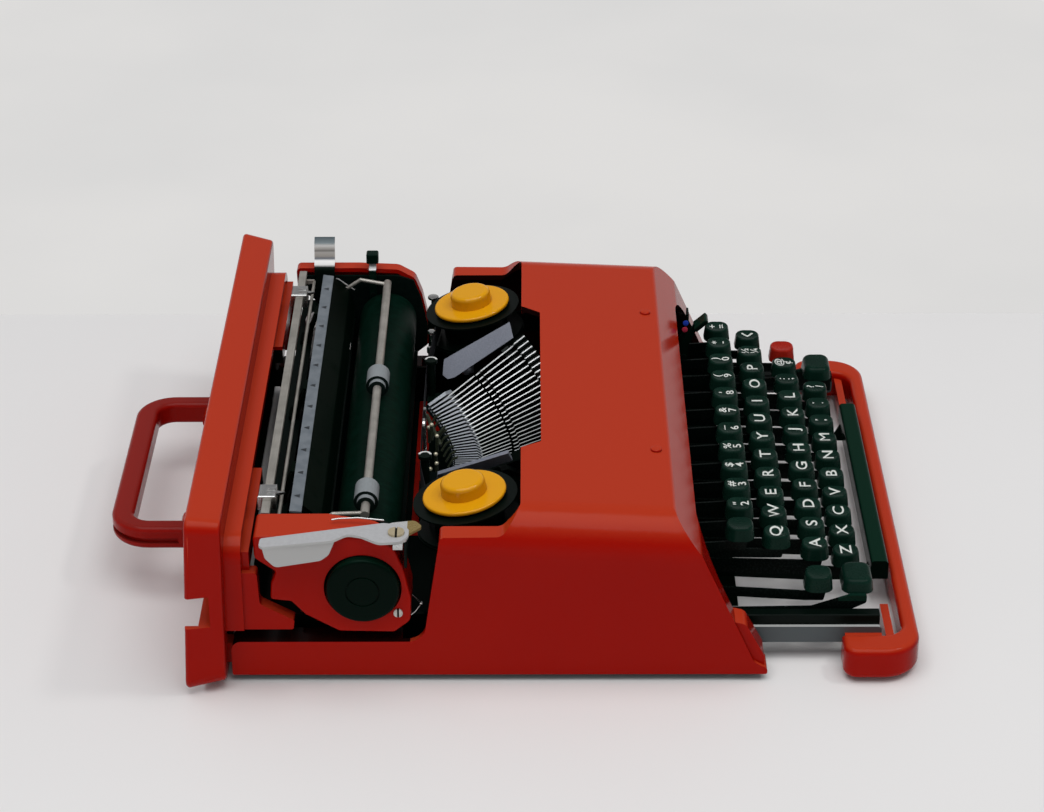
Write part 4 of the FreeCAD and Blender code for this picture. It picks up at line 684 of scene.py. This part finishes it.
def block(bm, low, high):
    """A box between two corners with its edges rounded."""
    verts = bmesh.ops.create_cube(bm, size=1.0)["verts"]
    bmesh.ops.scale(bm, vec=high - low, verts=verts)
    bmesh.ops.translate(bm, vec=(low + high) / 2, verts=verts)
    round_edges(bm, {edge for vert in verts for edge in vert.link_edges}, SOFT_EDGE)


def drum(bm, start, end, radius, sides=32, soft=0.0):
    """A round bar from start to end, with rounded rims where they are wanted."""
    axis = end - start
    verts = bmesh.ops.create_cone(bm, cap_ends=True, segments=sides, radius1=radius, radius2=radius,
                                  depth=axis.length)["verts"]
    if soft:
        edges = {edge for vert in verts for edge in vert.link_edges}
        rims = [edge for edge in edges if abs(edge.verts[0].co.z - edge.verts[1].co.z) < 1e-9]
        verts = list(round_edges(bm, rims, soft) | {v for v in verts if v.is_valid})
    place = Matrix.Translation((start + end) / 2) @ axis.to_track_quat("Z", "Y").to_matrix().to_4x4()
    bmesh.ops.transform(bm, matrix=place, verts=verts)


def wire(bm, points, radius):
    """A bent wire: a ring is pushed from point to point, turned by half of each bend at the corner."""
    legs = [(after - before).normalized() for before, after in zip(points, points[1:])]
    place = Matrix.Translation(points[0]) @ legs[0].to_track_quat("Z", "Y").to_matrix().to_4x4()
    ring = bmesh.ops.create_circle(bm, cap_ends=True, segments=8, radius=radius)["verts"]
    bmesh.ops.transform(bm, matrix=place, verts=ring)
    edges = list({edge for vert in ring for edge in vert.link_edges})
    rest = Quaternion()
    for i in range(1, len(points)):
        moved = bmesh.ops.extrude_edge_only(bm, edges=edges)["geom"]
        ring = [g for g in moved if isinstance(g, bmesh.types.BMVert)]
        edges = [g for g in moved if isinstance(g, bmesh.types.BMEdge) and all(v in ring for v in g.verts)]
        bmesh.ops.translate(bm, vec=points[i] - points[i - 1], verts=ring)
        half = Quaternion()
        if i < len(legs):
            half = Quaternion().slerp(legs[i - 1].rotation_difference(legs[i]), 0.5)
        bmesh.ops.rotate(bm, cent=points[i], matrix=(half @ rest).to_matrix(), verts=ring)
        rest = half
    bmesh.ops.contextual_create(bm, geom=edges)


def ball(bm, place, radius):
    verts = bmesh.ops.create_uvsphere(bm, u_segments=16, v_segments=10, radius=radius)["verts"]
    bmesh.ops.translate(bm, vec=place, verts=verts)


print("piece helpers ready")


# %% [markdown]
# ## Key legends
# The legends are white plastic moulded through the black caps, so they follow the dished top. Text is made as
# a flat mesh, widened to the broad letters of the keys, and then each of its points is lowered to a few
# hundredths of a millimetre above the dish, so that it shows. One mesh holds the legends of one row.

# %% Legend plastic and the dish of a cap
shader, spot = finish("legend_plastic")
grain = spot.noise(300.0, 3.0)
feed(shader, Base_Color=grain.blend(shade(0.60, 0.62, 0.58), shade(0.78, 0.80, 0.76)),
     Roughness=grain * 0.2 + 0.3, Normal=grain.bump(0.05, 0.0001))

PITCH = 19.05
FIRST_KEY = -86.9
ROW_SHIFT = {"number": 0.0, "top": -0.5, "home": -0.25, "bottom": 0.25}
DISH_RADIUS = 30.0
DISH_DEPTH = 0.7
CAPITAL_SHARE = 0.70
STROKE_GAIN = 0.016
LETTER_HEIGHT = 5.7
PAIR_HEIGHT = 4.0
PAIR_STEP = 2.5
BROAD = 1.5
LAID_ON = 0.06
G_KEY = ("home", 4)


def key_place(row, k):
    depth, top = KEY_ROWS[row]
    return FIRST_KEY + PITCH * (ROW_SHIFT[row] + k), depth, top


def dish_height(x, y, top):
    return top - DISH_DEPTH + (x * x + y * y) / (2.0 * DISH_RADIUS)


def add_letters(bm, text, x, y, height, centre, top):
    """One legend at (x, y) on the cap whose middle is centre, with letters of this height in millimetres."""
    curve = bpy.data.curves.new("legend", "FONT")
    curve.body = text
    curve.size = height / CAPITAL_SHARE
    curve.offset = 0.0 if text in "MW" else STROKE_GAIN * height
    curve.align_x = "CENTER"
    curve.resolution_u = 4
    holder = bpy.data.objects.new("legend", curve)
    flat = bpy.data.meshes.new_from_object(holder)
    before = set(bm.verts)
    bm.from_mesh(flat)
    verts = [v for v in bm.verts if v not in before]
    low = min(v.co.y for v in verts)
    high = max(v.co.y for v in verts)
    left = min(v.co.x for v in verts)
    wide = max(v.co.x for v in verts)
    bmesh.ops.translate(bm, vec=(-(left + wide) / 2, -(low + high) / 2, 0.0), verts=verts)
    bmesh.ops.scale(bm, vec=(BROAD, 1.0, 1.0), verts=verts)
    for vert in verts:
        rise = dish_height(vert.co.x + x - centre[0], vert.co.y + y - centre[1], top) + LAID_ON
        vert.co = at(vert.co.x + x, vert.co.y + y, rise)
    bpy.data.objects.remove(holder)
    bpy.data.curves.remove(curve)
    bpy.data.meshes.remove(flat)


LEGENDS = {
    "number": ["2\"", "3#", "4$", "5%", "6_", "7&", "8'", "9(", "0)", "-*", "=+"],
    "top": list("QWERTYUIOP") + ["\u00bc\u00bd"],
    "home": list("ASDFGHJKL") + [";:", "\u00a2@"],
    "bottom": list("ZXCVBNM") + [",,", "..", "/?"],
}
ROW_BODY = {"number": "number_row", "top": "upper_row", "home": "home_row", "bottom": "lower_row"}


def legend(bm, row, k, text):
    x, y, top = key_place(row, k)
    if len(text) == 1:
        add_letters(bm, text, x, y, LETTER_HEIGHT, (x, y), top)
    else:
        add_letters(bm, text[0], x, y - PAIR_STEP, PAIR_HEIGHT, (x, y), top)
        add_letters(bm, text[1], x, y + PAIR_STEP, PAIR_HEIGHT, (x, y), top)


for row, texts in LEGENDS.items():
    bm = bmesh.new()
    for k, text in enumerate(texts):
        if (row, k) != G_KEY:
            legend(bm, row, k, text)
    make_piece("legends_" + row, bm, "legend_plastic", ROW_BODY[row])
bm = bmesh.new()
legend(bm, *G_KEY, "G")
make_piece("legend_g", bm, "legend_plastic", "g_key")


# %% [markdown]
# ## The backspace arrow
# The backspace key carries an arrowhead of two strokes. Each stroke is a flat grid, narrowed, turned and
# moved aside, and then its points are lowered into the dish as those of the letters are.

# %% The backspace arrow
ARROW_TURN = math.radians(42)
bm = bmesh.new()
x, (y, top) = 113.1, KEY_ROWS["top"]
for side in (-1.0, 1.0):
    stroke = bmesh.ops.create_grid(bm, x_segments=3, y_segments=1, size=1.0)["verts"]
    bmesh.ops.scale(bm, vec=(2.5, 0.62, 1.0), verts=stroke)
    bmesh.ops.rotate(bm, cent=(0, 0, 0), matrix=Matrix.Rotation(side * ARROW_TURN, 3, "Z"), verts=stroke)
    bmesh.ops.translate(bm, vec=(0.2, side * 1.35, 0), verts=stroke)
for vert in bm.verts:
    vert.co = at(vert.co.x + x, vert.co.y + y, dish_height(vert.co.x, vert.co.y, top) + 0.1)
make_piece("legend_arrow", bm, "legend_plastic", "backspace")


# %% [markdown]
# ## Small parts of the carriage
# Thin bent wires run at both ends of the carriage, two ridges stand on each margin stop, and a round plated
# cap shows between the margin rail and the paper scale. They are too small to matter to the solids, so they
# are drawn here.

# %% Wires, ridges and cap on the carriage
bm = bmesh.new()
wire(bm, [at(133.0, -53.2, 79.5), at(133.0, -54.5, 79.2), at(131.5, -63.5, 73.2)], 0.0004)
wire(bm, [at(-136.0, -67.5, 84.6), at(-135.5, -70.5, 84.9), at(-135.0, -80.0, 85.1), at(-136.5, -92.5, 84.6)],
     0.0004)
make_piece("carriage_wires", bm, "chrome_plate", "carriage")
STOP_X = 108.2
RIDGE_WIDTH = 1.3
STOPS = (("stop_ridges_left", -STOP_X, "left_stop"), ("stop_ridges_right", STOP_X, "right_stop"))
for name, x, body in STOPS:
    bm = bmesh.new()
    for step in (-3.0, 0.4):
        block(bm, at(x + step, -39.4, 84.4), at(x + step + RIDGE_WIDTH, -34.4, 85.1))
    make_piece(name, bm, "chrome_plate", body)
bm = bmesh.new()
drum(bm, at(112.0, -48.0, 63.05), at(112.0, -48.0, 65.0), 0.0112, soft=0.0006, sides=48)
make_piece("plated_cap", bm, "pale_plate", "carriage")


# %% [markdown]
# ## Small parts of the type basket
# Inside the segment's rim the hooks of the type bars show as short olive rods with brass balls between them.
# A curved arm crosses from the platen to the rim. The rods are bent wires, made with the one wire helper.

# %% Hooks, balls and arm
BALLS = ((-5.0, -110.7, 62.7), (-4.0, -109.3, 60.6), (-10.0, -113.6, 58.9), (-26.0, -113.4, 57.2),
         (-36.0, -110.8, 54.2), (-33.0, -114.0, 55.8))
STEM = 9.0
bm = bmesh.new()
for k in range(9):
    x, y, z = 9.0 - 4.6 * k, -112.3 - 1.25 * k, 59.6 - 0.55 * k
    if abs(x) > 2.6:
        wire(bm, [at(x, y - 2.6, z + 1.6), at(x, y, z), at(x - 0.5, y + 2.6, z - 4.4)], 0.0006)
for x, y, z in BALLS:
    drum(bm, at(x, y, z), at(x, y, z - STEM), 0.0009, sides=8)
make_piece("bar_hooks", bm, "olive_steel", "frame")
bm = bmesh.new()
for x, y, z in BALLS:
    ball(bm, at(x, y, z), 0.0011)
make_piece("bar_balls", bm, "pale_brass", "frame")
bm = bmesh.new()
wire(bm, [at(14.0, -106.9, 58.0), at(9.0, -107.9, 60.5), at(3.5, -109.6, 59.5), at(-6.0, -113.0, 57.0),
          at(-12.0, -115.6, 54.5)], 0.0011)
wire(bm, [at(-6.0, -113.0, 57.0), at(-5.0, -116.5, 60.0), at(-4.5, -118.0, 62.0)], 0.0007)
make_piece("basket_arm", bm, "olive_steel", "frame")


# %% [markdown]
# ## Dark sheets for painted shade
# Dark sheets stand for the shade in gaps through which the pale table would show: two upright strips at the
# carriage's far end and two flat strips low under the keyboard. They are painted shade, thin and plain, so
# rounded boxes are enough.

# %% Dark sheets for painted shade
bm = bmesh.new()
block(bm, at(124.6, -110.4, 17.0), at(126.3, -104.6, 60.5))
block(bm, at(129.2, -117.0, 20.0), at(130.2, -105.0, 61.5))
block(bm, at(-124.0, -257.0, 10.8), at(-98.0, -240.2, 11.4))
block(bm, at(-98.2, -266.0, 10.8), at(124.0, -240.2, 11.4))
make_piece("painted_shade_sheets", bm, "dark_green_enamel", "frame")


# %% [markdown]
# ## Posts and nuts by the far spool
# Plated posts, one with a round cap, and two nuts stand on the deck beside the far spool. Each is a short
# drum: six sides make a nut, and many make a round post.

# %% Posts and nuts by the far spool
bm = bmesh.new()
drum(bm, at(124.6, -107.9, 60.0), at(124.6, -107.9, 71.0), 0.0012)
drum(bm, at(124.6, -107.9, 71.0), at(124.6, -107.9, 72.6), 0.0030, soft=0.0004)
drum(bm, at(78.5, -108.4, 60.0), at(78.5, -108.4, 73.0), 0.0007)
drum(bm, at(78.5, -108.4, 72.6), at(78.5, -108.4, 74.8), 0.0021, sides=6, soft=0.0003)
drum(bm, at(80.5, -106.8, 60.0), at(80.5, -106.8, 63.6), 0.0013, sides=6, soft=0.0002)
drum(bm, at(74.0, -107.2, 60.0), at(74.0, -107.2, 67.0), 0.0008, sides=12, soft=0.0002)
make_piece("deck_nuts", bm, "chrome_plate", "frame")


# %% [markdown]
# ## Screws
# Slotted screws hold the plate's lugs at the back and the pan from below. Each head is a short drum with a
# rounded rim. Two bars stand on its face, and the gap between them reads as the slot, which is simpler than
# cutting one.

# %% Screw heads
def screw(bm, place, outward, radius):
    """A round head whose outer face looks along outward, with a raised bar on each side of its slot."""
    outward = Vector(outward)
    across = outward.orthogonal().normalized()
    drum(bm, place, place + outward * 0.0009, radius, soft=0.0002, sides=28)
    for way in (-1.0, 1.0):
        start = place + outward * 0.0010 + outward.cross(across) * way * radius * 0.42
        wire(bm, [start - across * radius * 0.62, start + across * radius * 0.62], radius * 0.26)


bm = bmesh.new()
for x in (-138.0, 138.0):
    for z in (24.0, 70.0):
        screw(bm, at(x, -3.55, z), (0, 1, 0), 0.0030)
make_piece("plate_screws", bm, "satin_steel", "frame")
bm = bmesh.new()
for x, y in ((-105.0, -60.0), (105.0, -60.0), (-105.0, -200.0), (105.0, -200.0), (0.0, -130.0)):
    screw(bm, at(x, y, 2.42), (0, 0, -1), 0.0035)
make_piece("pan_screws", bm, "satin_steel", "frame")


# %% [markdown]
# ## Small parts by the covers and the selector
# A forked wire shows in the gap between the near cover and the shell. The selector's plate carries a blue and
# a red dot, one for each half of the ribbon.

# %% Fork and dots
bm = bmesh.new()
wire(bm, [at(-129.5, -102.8, 40.0), at(-129.5, -107.0, 35.6), at(-129.5, -109.0, 33.0)], 0.0004)
wire(bm, [at(-129.5, -102.6, 25.5), at(-129.5, -106.0, 28.4), at(-129.5, -109.0, 33.0)], 0.0004)
drum(bm, at(-128.4, -109.0, 33.0), at(-130.2, -109.0, 33.0), 0.0009, soft=0.0002, sides=16)
make_piece("gap_fork", bm, "chrome_plate", "frame")
for name, y, z, ink in (("dot_blue", -247.6, 72.4, "blue_ink"), ("dot_red", -247.2, 68.4, "red_ink")):
    bm = bmesh.new()
    drum(bm, at(91.55, y, z), at(91.2, y, z), 0.0016, soft=0.0001, sides=24)
    make_piece(name, bm, ink, "frame")


# %% [markdown]
# ## The table and the wall
# The machine stands on a pale table in front of a pale wall. One large sheet does both jobs: it is table up
# to the line where the wall starts in the photograph, and beyond that line it shows the wall's own tone to
# the camera. A real wall so close behind the machine would hide it from the other side.

# %% Table and wall
WALL_LINE = 0.2445
CAMERA_RAY, GLOSSY_RAY, TRANSMISSION_RAY = 0, 3, 6
shader, spot = finish("table_and_wall")
x, y, z = spot.parts()
seen = Wire(spot.tree).make("ShaderNodeLightPath", out=CAMERA_RAY)
gloss = Wire(spot.tree).make("ShaderNodeLightPath", out=GLOSSY_RAY)
clear = Wire(spot.tree).make("ShaderNodeLightPath", out=TRANSMISSION_RAY)
wall = (x > WALL_LINE) * (seen + gloss + clear).math("MINIMUM", 1.0)
mottle = spot.noise(3.0, 4.0)
feed(shader, Base_Color=mottle.blend(shade(0.795, 0.780, 0.770), shade(0.845, 0.83, 0.82)),
     Roughness=0.5, Specular_IOR_Level=0.3)
wall_tone = mottle.steps(0.3, 0.7).blend(shade(0.690, 0.685, 0.680), shade(0.735, 0.725, 0.715))
glow = spot.make("ShaderNodeEmission", {}, {"Color": wall_tone, "Strength": 1.0})
mixed = spot.make("ShaderNodeMixShader", {}, {0: wall, 1: Wire(spot.tree, shader.outputs[0]), 2: glow})
sheet_output = spot.tree.nodes["Material Output"]
spot.tree.links.new(mixed.socket, sheet_output.inputs["Surface"])

bm = bmesh.new()
bmesh.ops.create_grid(bm, x_segments=1, y_segments=1, size=6.0)
mesh = bpy.data.meshes.new("table")
bm.to_mesh(mesh)
bm.free()
table = bpy.data.objects.new("table", mesh)
bpy.context.scene.collection.objects.link(table)
table.data.materials.append(finishes["table_and_wall"])
print("table ready, wall line at x =", WALL_LINE)


# %% [markdown]
# ## Light
# The shadows fall softly towards the handle. One wide lamp overhead gives most of the light, and a small, weak
# one high on the keyboard's side gives the shadows their direction. An even sky fills the rest. The lamps are
# set so that a surface renders about as light as its colour is written.

# %% Lamps and sky
world = bpy.data.worlds.new("room")
world.use_nodes = True
bpy.context.scene.world = world
sky = Wire(world.node_tree)
seen, mirrored = (sky.make("ShaderNodeLightPath", out=i) for i in (CAMERA_RAY, GLOSSY_RAY))
x, y, z = sky.make("ShaderNodeTexCoord", out=0).parts()
room = z.ramp((0.0, shade(0.62, 0.62, 0.62)), (0.12, shade(0.50, 0.50, 0.50)),
              (0.36, shade(0.26, 0.26, 0.265)), (1.0, shade(0.12, 0.12, 0.125)))
tone = mirrored.blend(shade(0.36, 0.365, 0.375), room)
tone = seen.blend(tone, shade(0.70, 0.69, 0.69))
background = world.node_tree.nodes["Background"]
world.node_tree.links.new(tone.socket, background.inputs["Color"])
background.inputs["Strength"].default_value = 1.0


def lamp(name, place, target, size, power, tint):
    light = bpy.data.lights.new(name, "AREA")
    light.shape = "RECTANGLE"
    light.size, light.size_y = size
    light.energy = power
    light.color = tint
    holder = bpy.data.objects.new(name, light)
    bpy.context.scene.collection.objects.link(holder)
    holder.location = place
    holder.rotation_euler = (Vector(target) - Vector(place)).to_track_quat("-Z", "Y").to_euler()


lamp("ceiling_light", (-0.5, 0.1, 2.6), (0.0, 0.0, 0.0), (2.6, 2.2), 44.0, (0.98, 0.99, 1.0))
lamp("keyboard_side_light", (-0.15, -1.25, 1.9), (0.0, 0.0, 0.0), (0.34, 0.22), 5.5, (1.0, 0.985, 0.96))
